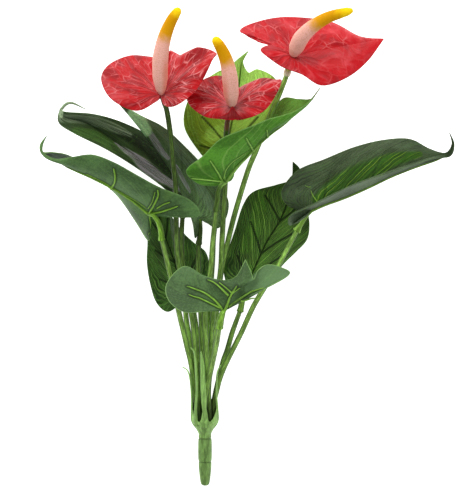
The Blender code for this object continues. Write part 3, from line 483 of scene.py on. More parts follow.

# How each leaf is printed, with painted light and shade among it. Colours: "top" and "glow" are the plain
# and the bright green of the top face, "under" is the underside, "turned" is what the pale patches show,
# "sheen" and "streaks" are the strong and the weak painted grey glare ("sheen" for both where no "streaks"
# are given), "vein_colour" is the veins' and "rib" the rib moulding's. Strengths: "grey" of the painted
# glare all over, "veins" of all veins, "plain_veins" of those off the bright green, "near" of the bright
# green beside the midrib, "grit" of the mottling, "groove" of the grooves over the ribs and of the painted
# shade in them, "shade" of the painted shadow beside the ribs, "under_veins" of the underside's veins, and
# "edge" of the cut edge's colour on the left and right half. "count" is the number of side veins, "lean"
# how far they run towards the tip, and "rim" the width (mm) of the edge's colour below. A leaf takes from
# PLAIN_LEAF what it doesn't give.
PLAIN_LEAF = {
    "count": 25.0, "lean": 0.24, "near": 0.6, "plain_veins": 0.2, "grit": 1.0, "groove": 0.85,
    "under_veins": 0.1, "rim": 0.7,
}
LEAF_LOOKS = {
    "a": {
        "top": (0.022, 0.045, 0.022), "glow": (0.035, 0.1, 0.03), "under": (0.072, 0.152, 0.046),
        "turned": (0.15, 0.34, 0.06), "sheen": (0.16, 0.18, 0.16), "vein_colour": (0.16, 0.33, 0.06),
        "rib": (0.18, 0.38, 0.035), "grey": 0.3, "veins": 0.4, "edge": (0.15, 1.0), "shade": 0.75,
        "under_veins": 0.2, "rim": 1.3,
    },
    "b": {
        "top": (0.026, 0.05, 0.016), "glow": (0.075, 0.2, 0.026), "under": (0.13, 0.25, 0.11),
        "turned": (0.42, 0.58, 0.33), "sheen": (0.43, 0.42, 0.44), "streaks": (0.33, 0.45, 0.27),
        "vein_colour": (0.13, 0.26, 0.03), "rib": (0.15, 0.3, 0.03), "grey": 0.2, "veins": 0.4,
        "lean": 0.55, "near": 0.1, "edge": (0.12, 0.12), "shade": 0.5, "grit": 0.7, "groove": 0.25,
    },
    "c": {
        "top": (0.078, 0.142, 0.045), "glow": (0.055, 0.15, 0.035), "under": (0.13, 0.27, 0.12),
        "turned": (0.52, 0.95, 0.43), "sheen": (0.39, 0.4, 0.4), "streaks": (0.23, 0.36, 0.22),
        "vein_colour": (0.18, 0.34, 0.12), "rib": (0.15, 0.3, 0.03), "grey": 0.4, "veins": 0.5, "lean": 0.5,
        "near": 0.3, "plain_veins": 0.4, "edge": (0.15, 0.2), "shade": 0.3, "groove": 0.25,
    },
    "d": {
        "top": (0.034, 0.096, 0.015), "glow": (0.065, 0.2, 0.016), "under": (0.06, 0.15, 0.05),
        "turned": (0.12, 0.3, 0.1), "sheen": (0.16, 0.19, 0.15), "vein_colour": (0.24, 0.44, 0.1),
        "rib": (0.15, 0.32, 0.03), "grey": 0.2, "veins": 0.6, "count": 28.0, "plain_veins": 0.45,
        "edge": (0.15, 0.15), "shade": 0.5,
    },
    "e": {
        "top": (0.018, 0.045, 0.012), "glow": (0.02, 0.07, 0.01), "under": (0.072, 0.143, 0.047),
        "turned": (0.21, 0.385, 0.16), "sheen": (0.16, 0.19, 0.15), "vein_colour": (0.15, 0.33, 0.05),
        "rib": (0.19, 0.39, 0.045), "grey": 0.3, "veins": 0.5, "edge": (0.85, 0.85), "shade": 0.85,
    },
    "f": {
        "top": (0.026, 0.076, 0.011), "glow": (0.056, 0.2, 0.01), "under": (0.06, 0.15, 0.05),
        "turned": (0.12, 0.3, 0.1), "sheen": (0.16, 0.19, 0.15), "vein_colour": (0.26, 0.5, 0.08),
        "rib": (0.17, 0.34, 0.04), "grey": 0.15, "veins": 1.0, "count": 30.0, "plain_veins": 0.35,
        "edge": (0.1, 0.2), "shade": 0.5,
    },
    "g": {
        "top": (0.053, 0.086, 0.038), "glow": (0.03, 0.115, 0.003), "under": (0.08, 0.125, 0.062),
        "turned": (0.18, 0.28, 0.14), "sheen": (0.15, 0.18, 0.13), "vein_colour": (0.27, 0.48, 0.04),
        "rib": (0.24, 0.46, 0.06), "grey": 0.1, "veins": 0.9, "count": 36.0, "lean": 0.3, "near": 0.0,
        "plain_veins": 0.0, "edge": (0.3, 0.08), "shade": 0.4, "grit": 0.75, "groove": 0.4,
    },
    "h": {
        "top": (0.17, 0.4, 0.06), "glow": (0.2, 0.44, 0.08), "under": (0.078, 0.24, 0.022),
        "turned": (0.17, 0.5, 0.06), "sheen": (0.3, 0.5, 0.2), "vein_colour": (0.3, 0.55, 0.12),
        "rib": (0.24, 0.48, 0.08), "grey": 0.0, "veins": 0.3, "edge": (0.35, 0.35), "shade": 0.5,
        "grit": 0.3, "under_veins": 0.45,
    },
    "i": {
        "top": (0.18, 0.31, 0.018), "glow": (0.48, 0.94, 0.16), "under": (0.1, 0.3, 0.05),
        "turned": (0.2, 0.6, 0.1), "sheen": (0.3, 0.5, 0.2), "vein_colour": (0.34, 0.56, 0.1),
        "rib": (0.2, 0.4, 0.05), "grey": 0.0, "veins": 0.3, "near": 0.1, "edge": (0.2, 0.2), "shade": 0.4,
        "grit": 0.42,
    },
}
FRESH_LEAVES = ("h", "i")

# Patches on the leaves, as bands: a path of (photo x, photo y, half width in pixels), the half of the
# blade that it stays on (-1 left, 1 right, 0 both), and its strength. "shine" is painted grey glare, "glow"
# bright green, "pale" pale green and "dark" painted shade in dark green.
PATCHES = {
    "a": {
        "shine": [([(48, 153, 3), (60, 156, 4), (72, 157, 3)], 0, 0.6)],
        "dark": [([(47, 135, 2), (41, 144, 3), (44, 152, 3), (50, 156, 2)], 0, 0.5)],
        "pale": [([(114, 188.5, 1.0), (124, 204, 1.1), (136, 222, 1.2), (147.5, 240, 1.2)], 1, 0.85)],
    },
    "b": {
        "shine": [
            (
                [
                    (110, 138, 0.8), (123, 148.4, 2.8), (135, 156.4, 4.4), (144, 164.5, 6.6),
                    (152, 171, 6.4), (160, 177, 5.2), (167, 180.8, 4.2), (178, 187.8, 3.2),
                    (190, 194.6, 1.0),
                ],
                0, 1.0,
            ),
            ([(62, 118, 4.5), (80, 118, 5.5), (98, 121, 5.5), (116, 128, 4.5), (130, 134, 2.5)], 0, 0.6),
        ],
        "glow": [([(76, 130.5, 4), (96, 136, 5.5), (116, 147.5, 5.5), (134, 160, 3)], 0, 0.6)],
        "pale": [
            (
                [
                    (86, 108, 2), (77, 103.6, 3), (70, 102.6, 3), (64, 104.5, 3.2), (60.8, 110, 3.2),
                    (61, 116, 1.6),
                ],
                0, 1.0,
            ),
        ],
        "dark": [
            ([(110, 138, 0.8), (128, 151, 0.9), (146, 166, 1.0)], 0, 0.6),
            (
                [(163, 186.5, 1.4), (170, 190, 2.2), (180, 195.5, 2.6), (190, 199.6, 2.6), (199, 202, 2)],
                0, 1.0,
            ),
            ([(116, 131, 3), (134, 139, 6), (152, 148, 9), (168, 164, 10), (184, 183, 7)], 0, 1.0),
            ([(112, 146, 2), (124, 156, 2.4), (134, 163, 1.6)], 0, 0.55),
        ],
    },
    "c": {
        "shine": [
            ([(147.6, 127.5, 2.6), (154.4, 139, 3.6), (161.4, 149.5, 3.6), (168.5, 157.5, 2.4)], 0, 1.0),
            ([(175.6, 164, 1.6), (181.5, 175, 2.6), (187, 185, 2.4), (190.5, 192, 1.2)], 0, 0.9),
            ([(150, 118, 4), (164, 131, 6), (177, 145, 7), (191, 161, 8), (203, 178, 6)], 0, 0.6),
            ([(196, 180, 4), (205, 195, 6), (212, 206, 5)], 0, 0.4),
        ],
        "pale": [([(133, 113, 5.5), (139, 120.5, 7), (146, 130, 6)], 0, 1.0)],
        "dark": [([(168.5, 133.5, 1.2), (186, 147, 1.4), (200, 163, 1.6)], 0, 0.6)],
    },
    "d": {
        "shine": [([(170.8, 216, 1.2), (173.5, 238, 1.8), (176.5, 259, 1.0)], 0, 0.8)],
        "glow": [
            ([(168, 222, 3), (180, 243, 6), (192, 262, 7)], 0, 0.6),
            ([(152, 250, 4), (156, 285, 5)], 0, 0.45),
        ],
    },
    "e": {
        "pale": [([(250, 289, 6), (262, 280, 10), (276, 270, 12), (290, 266, 9)], 0, 0.42)],
        "dark": [
            ([(236, 302, 3), (246, 292, 4), (250, 283, 4)], 0, 0.35),
            ([(284, 268, 1.4), (289, 272, 2)], 0, 1.0),
        ],
    },
    "f": {
        "glow": [
            ([(262, 196, 6), (258, 222, 9), (246, 246, 8)], -1, 0.85),
            ([(292, 200, 8), (282, 232, 8)], 1, 0.4),
        ],
        "dark": [([(229, 262, 5), (240, 272, 4)], 0, 0.6)],
    },
    "g": {
        "shine": [
            ([(290, 190, 6), (297, 178, 6), (318, 166, 5)], 0, 0.12),
            ([(330, 160, 4), (360, 150, 5), (395, 143, 5), (420, 147, 4)], 0, 0.15),
            ([(318, 204, 3), (345, 192, 3.4), (370, 182, 3), (400, 171, 3), (430, 160, 2)], 1, 0.2),
        ],
        "glow": [
            (
                [
                    (317, 199, 5), (332, 189, 9), (352, 178, 11), (374, 168, 10), (396, 159, 7),
                    (420, 154, 3),
                ],
                -1, 1.0,
            ),
        ],
        "dark": [([(287, 186, 4), (290, 196, 7), (299, 205, 6)], 0, 0.3)],
    },
    "h": {
        "dark": [
            ([(189, 173, 3), (200, 172, 5), (212, 169, 5)], 0, 0.55),
            ([(226, 172, 2), (232, 164, 2)], 0, 0.3),
        ],
    },
    "i": {
        "glow": [
            ([(248, 51, 3), (239, 60, 6), (239, 72, 6), (260, 76, 12), (212, 80, 8)], 0, 1.3),
            ([(212, 134, 7), (230, 128, 8), (252, 122, 9), (262, 106, 8)], 0, 0.35),
        ],
        "dark": [
            ([(199, 150, 4), (210, 155, 5), (220, 150, 4)], 0, 0.7),
            ([(188, 112, 4), (191, 128, 5), (197, 143, 5)], 0, 0.5),
        ],
    },
}

# Side ribs that show in the photo, under the blade and on top of it: a path of photo x and y, the half of
# the blade, and the radius (mm) at both ends. A leaf without an entry in RIBS_SEEN has the side ribs of
# LEAVES.
RIBS_SEEN = {
    "a": [
        ([(111.2, 188.7), (115, 182), (115.8, 176.1), (114.3, 167.7)], -1, 0.85, 0.6),
        ([(149, 213.5), (155, 203), (158.6, 194.6), (157.9, 189.1)], -1, 0.85, 0.6),
        ([(148.6, 207.9), (152.6, 201.4), (155.6, 191.2)], -1, 0.4, 0.35),
        ([(157, 207.6), (164, 203.6), (170.5, 201.4)], -1, 0.55, 0.45),
        ([(149, 213.5), (163, 210.6), (178.6, 205.4)], -1, 0.85, 0.55),
        ([(87.1, 173.1), (104, 181.2), (115, 188.0), (136, 199.6), (148.6, 208.5)], -1, 0.4, 0.45),
        ([(150, 214.2), (150.3, 224), (148.4, 234)], 1, 0.7, 0.4),
    ],
    "e": [
        ([(224, 309.6), (214.9, 299.5), (205, 292.6), (196, 289), (187, 286)], 1, 0.95, 0.55),
        ([(220.4, 307.8), (210.4, 303), (201.4, 298.6), (194, 296.4), (188.8, 294.4)], 1, 0.85, 0.45),
        ([(229.3, 295.2), (221.2, 287.6), (214.9, 282.6), (207.7, 279.6)], 1, 0.9, 0.45),
        ([(232, 292.3), (226.6, 287.6), (219.4, 282.2)], 1, 0.6, 0.4),
        ([(231.6, 293.2), (236, 289.6), (240, 286.8)], -1, 0.7, 0.4),
        ([(228.6, 307.2), (239.2, 300.6), (249.1, 293.6), (258, 290.2), (265.5, 288.2)], -1, 1.0, 0.5),
        ([(241, 301), (249.5, 298), (255, 297.4)], -1, 0.7, 0.45),
    ],
    "h": [
        ([(222.7, 180.9), (216, 169), (210, 160)], 1, 0.7, 0.45),
        ([(222, 181.6), (207, 179.6), (191.3, 178)], 1, 0.7, 0.4),
        ([(223.4, 178), (226, 169), (232, 161.6), (240.6, 155.6), (248.4, 150.2)], 1, 0.45, 0.3),
        ([(253.4, 151.2), (250, 144.6), (246.1, 137.4)], 1, 0.8, 0.55),
        ([(267.4, 137.2), (267, 133), (266.5, 129)], 1, 0.7, 0.5),
    ],
    "i": [
        ([(223, 140), (213, 128), (202, 116.4)], -1, 0.9, 0.5),
        ([(222, 149), (211, 148), (200, 145)], -1, 0.7, 0.4),
        ([(246, 130), (252.6, 122.6), (258.4, 116.4)], 1, 0.7, 0.4),
    ],
}
TOP_RIBS = {
    "g": [
        ([(311.2, 190.4), (313.6, 195.6), (318.2, 202.4)], -1, 0.22, 0.55),
        ([(305.4, 185.2), (308.4, 186.6), (311.2, 186.9)], -1, 0.12, 0.2),
    ],
}

# How each bloom is coloured. "red" is the ground. "count" and "length" say how close the net's lines are,
# round the bloom and outwards, and "lines" how strong they are on the left and right half. "deep" and
# "haze" are the strengths of the dark meshes and of the light clouds, and "dusty" that of the dust by the
# spadix. "turn" is the share of the spadix at which its pink turns orange, and "salmon" the side and
# strength of the painted shade in salmon on it.
BLOOM_LOOKS = {
    "1": {
        "red": (0.46, 0.004, 0.007), "count": 14.0, "length": 0.045, "lines": (0.38, 0.85), "deep": 0.8,
        "haze": 0.3, "dusty": 0.1, "turn": 0.62, "salmon": 1.0,
    },
    "2": {
        "red": (0.49, 0.006, 0.011), "count": 14.0, "length": 0.05, "lines": (0.95, 0.7), "deep": 0.85,
        "haze": 0.3, "dusty": 0.7, "turn": 0.6, "salmon": -1.0,
    },
    "3": {
        "red": (0.5, 0.006, 0.011), "count": 7.0, "length": 0.05, "lines": (0.3, 0.12), "deep": 0.6,
        "haze": 0.45, "dusty": 0.1, "turn": 0.66, "salmon": 0.4,
    },
}

# Lamps: place, size and power. They aim at one place near the middle of the spray.
LAMPS = {
    "key_light": ((-0.7, 1.1, 1.5), 0.9, 21),
    "fill_light": ((1.3, 0.1, 1.2), 1.2, 7),
    "back_light": ((0.1, 1.8, 0.7), 0.9, 9),
}
LAMP_AIM = (0.0, 0.03, 0.05)
FLOOR_HALF_SIDE = 6.0
FLOOR_DROP = 0.5 * MM


class BladeSettings(bpy.types.PropertyGroup):
    """Size, mesh and edge colour of the leaf blades"""

    thickness: FloatProperty(
        name="Blade thickness", description="How thick a leaf blade is", default=0.8 * MM, min=0.2 * MM,
        unit="LENGTH",
    )
    rows: IntProperty(
        name="Rows", description="Mesh rows between two margin stations of a blade", default=14, min=2, max=40
    )
    columns: IntProperty(
        name="Columns", description="Mesh columns from midrib to margin of a blade", default=38, min=4, max=60
    )
    margin: FloatVectorProperty(
        name="Margin", description="Colour of a blade's cut edge", default=(0.22, 0.40, 0.12),
        subtype="COLOR", min=0, max=1,
    )


class RibSettings(bpy.types.PropertyGroup):
    """Radii of the rib mouldings, and the colour of the painted shade on their collars"""

    midrib_radius: FloatProperty(
        name="Midrib radius", description="Radius of a midrib at its foot", default=1.15 * MM, min=0,
        unit="LENGTH",
    )
    side_radius: FloatProperty(
        name="Side rib radius", description="Radius of a side rib at its foot", default=0.75 * MM, min=0,
        unit="LENGTH",
    )
    tip_radius: FloatProperty(
        name="Tip radius", description="Radius of a rib at its end", default=0.5 * MM, min=0, unit="LENGTH"
    )
    # Painted shade on the collars, strongest where blades lie over them.
    olive: FloatVectorProperty(
        name="Olive", description="Colour of the dark collars", default=(0.035, 0.065, 0.010),
        subtype="COLOR", min=0, max=1,
    )


class StalkSettings(bpy.types.PropertyGroup):
    """Radius and colours of the stems"""

    radius: FloatProperty(
        name="Stem radius", description="Radius of a stem half way up", default=1.95 * MM, min=0,
        unit="LENGTH",
    )
    colour: FloatVectorProperty(
        name="Stem green", description="Colour of a stem near the foot", default=(0.182, 0.3315, 0.0624),
        subtype="COLOR", min=0, max=1,
    )
    rose: FloatVectorProperty(
        name="Rose", description="Colour of the middle bloom's stem under its spathe",
        default=(0.19, 0.075, 0.045), subtype="COLOR", min=0, max=1,
    )
    bead: FloatVectorProperty(
        name="Bead", description="Colour of the bead under the right bloom", default=(0.78, 0.78, 0.56),
        subtype="COLOR", min=0, max=1,
    )


class BloomSettings(bpy.types.PropertyGroup):
    """Sizes and colours of the spathes and the spadices"""

    thickness: FloatProperty(
        name="Spathe thickness", description="How thick a spathe is", default=1.0 * MM, min=0.2 * MM,
        unit="LENGTH",
    )
    fold: FloatProperty(
        name="Fold thickness", description="How thick the small fold of the middle spathe is",
        default=0.6 * MM, min=0.2 * MM, unit="LENGTH",
    )
    bump: FloatProperty(
        name="Bump height", description="Height of the small bumps on a spadix", default=0.12 * MM,
        unit="LENGTH",
    )
    bump_step: FloatProperty(
        name="Bump step", description="Distance from bump to bump along a spadix", default=1.35 * MM,
        min=0.5 * MM, unit="LENGTH",
    )
    # Also the painted shade on the middle spathe's small fold.
    deep: FloatVectorProperty(
        name="Deep red", description="Colour of a spathe's dark patches", default=(0.25, 0.002, 0.005),
        subtype="COLOR", min=0, max=1,
    )
    light: FloatVectorProperty(
        name="Light red", description="Colour of a spathe's soft light patches", default=(0.74, 0.085, 0.10),
        subtype="COLOR", min=0, max=1,
    )
    line: FloatVectorProperty(
        name="Line pink", description="Colour of a spathe's pale lines", default=(0.80, 0.29, 0.29),
        subtype="COLOR", min=0, max=1,
    )
    dust: FloatVectorProperty(
        name="Dust", description="Colour of the dusty film round a spadix's foot", default=(0.45, 0.15, 0.15),
        subtype="COLOR", min=0, max=1,
    )
    pink: FloatVectorProperty(
        name="Pink", description="Colour of a spadix near its foot", default=(0.92, 0.50, 0.43),
        subtype="COLOR", min=0, max=1,
    )
    salmon: FloatVectorProperty(
        name="Salmon", description="Colour of a spadix on its shaded side", default=(0.84, 0.27, 0.22),
        subtype="COLOR", min=0, max=1,
    )
    orange: FloatVectorProperty(
        name="Orange", description="Colour of a spadix where its pink turns", default=(0.68, 0.31, 0.004),
        subtype="COLOR", min=0, max=1,
    )
    gold: FloatVectorProperty(
        name="Gold", description="Colour of a spadix past the orange", default=(0.62, 0.29, 0.0),
        subtype="COLOR", min=0, max=1,
    )
    yellow: FloatVectorProperty(
        name="Yellow", description="Colour of a spadix at its end", default=(0.92, 0.62, 0.006),
        subtype="COLOR", min=0, max=1,
    )


class FootSettings(bpy.types.PropertyGroup):
    """Mesh, wall and colours of the foot"""

    sides: IntProperty(name="Sides", description="Mesh columns round the foot", default=96, min=12, max=200)
    wall: FloatProperty(
        name="Wall", description="How thick the wall of the cup is", default=0.8 * MM, min=0.2 * MM,
        unit="LENGTH",
    )
    colour: FloatVectorProperty(
        name="Foot green", description="Colour of the moulded foot", default=(0.1836, 0.3348, 0.0864),
        subtype="COLOR", min=0, max=1,
    )
    # The inside colour is painted shade, laid down into the dish and over the inner face of the cup's wall.
    inside: FloatVectorProperty(
        name="Inside", description="Colour inside the cup", default=(0.02, 0.04, 0.01), subtype="COLOR",
        min=0, max=1,
    )


class StageSettings(bpy.types.PropertyGroup):
    """Camera, lights and floor"""

    lens: FloatProperty(
        name="Lens", description="Focal length of the camera in millimetres", default=1400, min=50
    )
    light: FloatProperty(
        name="Light", description="Share of the full power of every lamp", default=1.0, min=0
    )
    daylight: FloatProperty(
        name="Daylight", description="Strength of the even white light from all round", default=0.42, min=0
    )
    floor: FloatVectorProperty(
        name="Floor", description="Colour of the floor", default=(0.95, 0.95, 0.95), subtype="COLOR", min=0,
        max=1,
    )
    floor_glow: FloatProperty(
        name="Floor glow", description="Light that the floor gives off, so that shadows stay faint",
        default=0.88, min=0,
    )


def place(points, sink=0.0):
    """Photo x, photo y and height as metres in the part's frame, let down by sink (mm)."""
    table = np.asarray(points, float)
    return np.column_stack(
        [
            (table[:, 0] - CENTRE_X_PX) * PIXEL,
            (CENTRE_Y_PX - table[:, 1]) * PIXEL,
            (table[:, 2] - sink) * MM,
        ]
    )


def place_flat(points):
    """Photo x and photo y as metres in the part's frame, at height 0."""
    table = np.asarray(points, float)
    return place(np.column_stack([table[:, :2], 0 * table[:, 0]]))


def along(points, t):
    """A smooth curve through the points: a cubic that passes each one in the direction of its neighbours."""
    table = np.asarray(points, float)
    last = len(table) - 1
    padded = np.vstack([2 * table[0] - table[1], table, 2 * table[-1] - table[-2]])
    spot = np.clip(t, 0, 1) * last
    index = np.minimum(spot.astype(int), last - 1)
    part = (spot - index)[:, None]
    a, b, c, d = (padded[index + step] for step in range(4))
    return 0.5 * (
        2 * b + (c - a) * part + (2 * a - 5 * b + 4 * c - d) * part**2 + (3 * b - 3 * c + d - a) * part**3
    )


def smooth_share(share):
    """0 to 1 in a soft step: 3 s^2 - 2 s^3."""
    return share * share * (3 - 2 * share)


def unit(vectors):
    """Each vector divided by its length."""
    return vectors / np.maximum(np.linalg.norm(vectors, axis=-1, keepdims=True), 1e-12)


def fan_share(shape):
    """The share of u in which the margin runs round the base while the midrib stays at its first point."""
    return (len(shape["left"]) - len(shape["mid"])) / (len(shape["left"]) - 1)


def sheet_points(shape, u, v):
    """Points of a blade or a spathe, and the distance from midrib to margin at each.

    P = M(u) + (E(u) - M(u)) |v| + N b 4 |v| (1 - |v|) + N w v^2 sin(2 pi n u + side). M is the midrib, E the
    left or right margin, N the direction across both, b the bulge, w the wave and n the number of ripples.
    """
    sink = shape.get("sink", 0.0)
    mid, left, right = (place(shape[key], sink) for key in ("mid", "left", "right"))
    fan = fan_share(shape)
    step = 1e-3

    def midrib(at):
        """The midrib at a share of the way: it stays at its first point until the fan ends."""
        return along(mid, np.clip((at - fan) / (1 - fan), 0, 1))

    def margin(at):
        """The left margin at a share of the way where v is negative, and the right one elsewhere."""
        return np.where((v < 0)[:, None], along(left, at), along(right, at))

    base, edge = midrib(u), margin(u)
    before, after = np.clip(u - step, 0, 1), np.clip(u + step, 0, 1)
    run = midrib(after) + margin(after) - midrib(before) - margin(before)
    side = np.where(v < 0, -1.0, 1.0)
    over = side[:, None] * unit(np.cross(edge - base, run))
    share = np.abs(v)
    window = np.minimum(1, 6 * u * (1 - u))
    lift = shape.get("bulge", 0.0) * MM * 4 * share * (1 - share)
    ripple = shape.get("wave", 0.0) * MM * share**2 * np.sin(2 * math.pi * RIPPLES * u + side)
    points = base + (edge - base) * share[:, None] + over * (window * (lift + ripple))[:, None]
    return points, np.linalg.norm(edge - base, axis=1)


def tidy_faces(quads):
    """Quads in which two neighbours are one point become triangles, and those with fewer corners go."""
    differs = quads != np.roll(quads, 1, axis=1)
    count = differs.sum(1)
    three = quads[count == 3][differs[count == 3]].reshape(-1, 3)
    return quads[count == 4].tolist() + three.tolist()


class Sheet:
    """A blade or a spathe on a grid: even steps of u, and steps of v that are closer at midrib and margin.

    v = s - 0.7 sin(2 pi s) / (2 pi), with s in even steps from 0 to 1 on each side.
    """

    def __init__(self, shape, rows_per_station, half_columns):
        self.shape = shape
        self.rows = (len(shape["left"]) - 1) * rows_per_station
        fan_rows = (len(shape["left"]) - len(shape["mid"])) * rows_per_station
        even = np.arange(half_columns + 1) / half_columns
        half_v = even - 0.7 * np.sin(2 * math.pi * even) / (2 * math.pi)
        self.v = np.concatenate([-half_v[::-1], half_v[1:]])
        grid_u, grid_v = np.meshgrid(np.arange(self.rows + 1) / self.rows, self.v, indexing="ij")
        points, self.reach = sheet_points(shape, grid_u.ravel(), grid_v.ravel())
        # One point stands for the base row, for the midrib up to the end of the fan, and for the tip row.
        index = np.arange(len(points)).reshape(grid_u.shape)
        index[0, :] = index[0, half_columns]
        index[: fan_rows + 1, half_columns] = index[0, half_columns]
        index[self.rows, :] = index[self.rows, half_columns]
        a, b = index[:-1, :-1].ravel(), index[:-1, 1:].ravel()
        d, c = index[1:, :-1].ravel(), index[1:, 1:].ravel()
        area = np.cross(points[c] - points[a], points[d] - points[b])
        normals = np.zeros_like(points)
        for corner in (a, b, c, d):
            np.add.at(normals, corner, area)
        self.quads = np.column_stack([a, b, c, d])
        self.index = index
        self.points = points
        self.normals = unit(normals)
        self.grid_u, self.grid_v = grid_u.ravel(), grid_v.ravel()

    def at(self, u, v):
        """Points and normals at any u and v, each blended from the four grid places round it."""
        row = np.clip(np.asarray(u) * self.rows, 0, self.rows - 1e-6)
        column = np.clip(np.interp(v, self.v, np.arange(len(self.v))), 0, len(self.v) - 1 - 1e-6)
        r, c = row.astype(int), column.astype(int)
        x, y = (row - r)[:, None], (column - c)[:, None]
        found = []
        for table in (self.points, self.normals):
            low = table[self.index[r, c]] * (1 - y) + table[self.index[r, c + 1]] * y
            high = table[self.index[r + 1, c]] * (1 - y) + table[self.index[r + 1, c + 1]] * y
            found.append(low * (1 - x) + high * x)
        return found[0], unit(found[1])

    def solid(self, thickness):
        """The sheet moved half the thickness each way, with a rounded rim between the two faces.

        The thickness falls to 0.7 of itself towards the tip. The rim's middle line stands 0.22 of it outside
        the margin. Gives points, faces, kinds (0 top, 1 the rest), and each point's place on the grid.
        """
        count = len(self.points)
        half = (thickness / 2 * np.interp(self.grid_u, (0.6, 0.85), (1.0, 0.7)))[:, None]
        upper = self.points + self.normals * half
        lower = self.points - self.normals * half
        rims, middle = [], []
        first = 2 * count
        for column, beside in ((0, 1), (-1, -2)):
            edge = self.index[:, column]
            out = unit(self.points[edge] - self.points[self.index[:, beside]])
            out[[0, -1]] = 0
            middle.append(self.points[edge] + out * thickness * 0.22)
            ring = first + np.arange(len(edge))
            ring[[0, -1]] = 2 * count + np.array([0, len(edge) - 1])
            first += len(edge)
            for above, below in ((edge, ring), (ring, edge + count)):
                quads = np.column_stack([above[:-1], above[1:], below[1:], below[:-1]])
                rims.append(quads if column == 0 else quads[:, ::-1])
        points = np.vstack([upper, lower, *middle])
        parts = [tidy_faces(some) for some in (self.quads, self.quads[:, ::-1] + count, np.vstack(rims))]
        kinds = np.repeat([0, 1, 1], [len(part) for part in parts])
        edges = np.concatenate([self.index[:, 0], self.index[:, -1]])
        source = np.concatenate([np.arange(count), np.arange(count), edges])
        return points, parts[0] + parts[1] + parts[2], kinds, source


def tube(path, first, second, widths, depths, length, sides):
    """Closed tube with a cap at each end: P = C + w cos(a) F + d sin(a) G.

    C is the path, F and G the two directions across it, and w and d one radius for each ring or each point.
    The grain is the length so far in mm, cos(a) and sin(a).
    """
    turn = 2 * math.pi * np.arange(sides) / sides
    widths, depths = (np.reshape(radii, (len(path), -1)) for radii in (widths, depths))
    rings = (
        path[:, None, :]
        + first[:, None, :] * (np.cos(turn)[None, :] * widths)[:, :, None]
        + second[:, None, :] * (np.sin(turn)[None, :] * depths)[:, :, None]
    )
    count = len(path) * sides
    points = np.vstack([rings.reshape(-1, 3), path[:1], path[-1:]])
    spot = np.arange(count).reshape(len(path), sides)
    beside = np.roll(spot, -1, axis=1)
    quads = np.column_stack([spot[:-1].ravel(), beside[:-1].ravel(), beside[1:].ravel(), spot[1:].ravel()])
    start = np.column_stack([np.full(sides, count), beside[0], spot[0]])
    end = np.column_stack([np.full(sides, count + 1), spot[-1], beside[-1]])
    faces = quads.tolist() + start.tolist() + end.tolist()
    grain = np.column_stack(
        [
            ring_marks(length / MM, sides),
            np.append(np.tile(np.cos(turn), len(path)), [0, 0]),
            np.append(np.tile(np.sin(turn), len(path)), [0, 0]),
        ]
    )
    return points, faces, grain


def swept(path, across, widths, depths, sides):
    """Tube whose rings stand across the path: F is across without its share along the run, G run x F."""
    run = unit(np.gradient(path, axis=0))
    across = np.broadcast_to(np.asarray(across, float), path.shape)
    first = unit(across - run * np.sum(run * across, axis=1, keepdims=True))
    length = np.concatenate([[0], np.cumsum(np.linalg.norm(np.diff(path, axis=0), axis=1))])
    return tube(path, first, np.cross(run, first), widths, depths, length, sides)


def turned(path, axis, radii, sides):
    """A body of revolution: a tube whose rings all stand across one axis."""
    run = np.broadcast_to(unit(axis), path.shape)
    side = np.array((1.0, 0.0, 0.0))
    first = unit(side - run * (run @ side)[:, None])
    length = np.linalg.norm(path - path[0], axis=1)
    return tube(path, first, np.cross(run, first), radii, radii, length, sides)


def ring_marks(values, sides, caps=None):
    """One number for each point of a tube, from one for each ring. The caps take those of the end rings."""
    return np.append(np.repeat(values, sides), (values[0], values[-1]) if caps is None else caps)


def merged(parts):
    """Several closed shapes in one list of points, faces and grain."""
    points, faces, grain, first = [], [], [], 0
    for some_points, some_faces, some_grain in parts:
        points.append(some_points)
        grain.append(some_grain)
        faces += [[corner + first for corner in face] for face in some_faces]
        first += len(some_points)
    return np.vstack(points), faces, np.vstack(grain)


def cleared(name):
    """Takes away the object of that name, if an earlier press of the button left one."""
    if name in bpy.data.objects:
        bpy.data.objects.remove(bpy.data.objects[name], do_unlink=True)


def piece(name, points, faces, finishes, stands_for, slot, kinds=None, **marks):
    """Puts a shape into an object of its own, which rides on the part in place of one of its solids."""
    cleared(name)
    mesh = bpy.data.meshes.new(name)
    mesh.from_pydata(np.asarray(points).tolist(), [], faces)
    mesh.polygons.foreach_set("use_smooth", np.ones(len(mesh.polygons), bool))
    for material in finishes:
        mesh.materials.append(material)
    if kinds is not None:
        mesh.polygons.foreach_set("material_index", np.asarray(kinds, np.int32))
    for label, values in marks.items():
        values = np.asarray(values, np.float32)
        kind, key = ("FLOAT_VECTOR", "vector") if values.ndim == 2 else ("FLOAT", "value")
        mesh.attributes.new(label, kind, "POINT").data.foreach_set(key, values.ravel())
    mesh.update()
    thing = bpy.data.objects.new(name, mesh)
    bpy.context.scene.collection.objects.link(thing)
    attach(thing, "root")
    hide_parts(stands_for)


def shaded(colour, share):
    """The colour with each of its three parts multiplied by the share."""
    return tuple(share * part for part in colour)


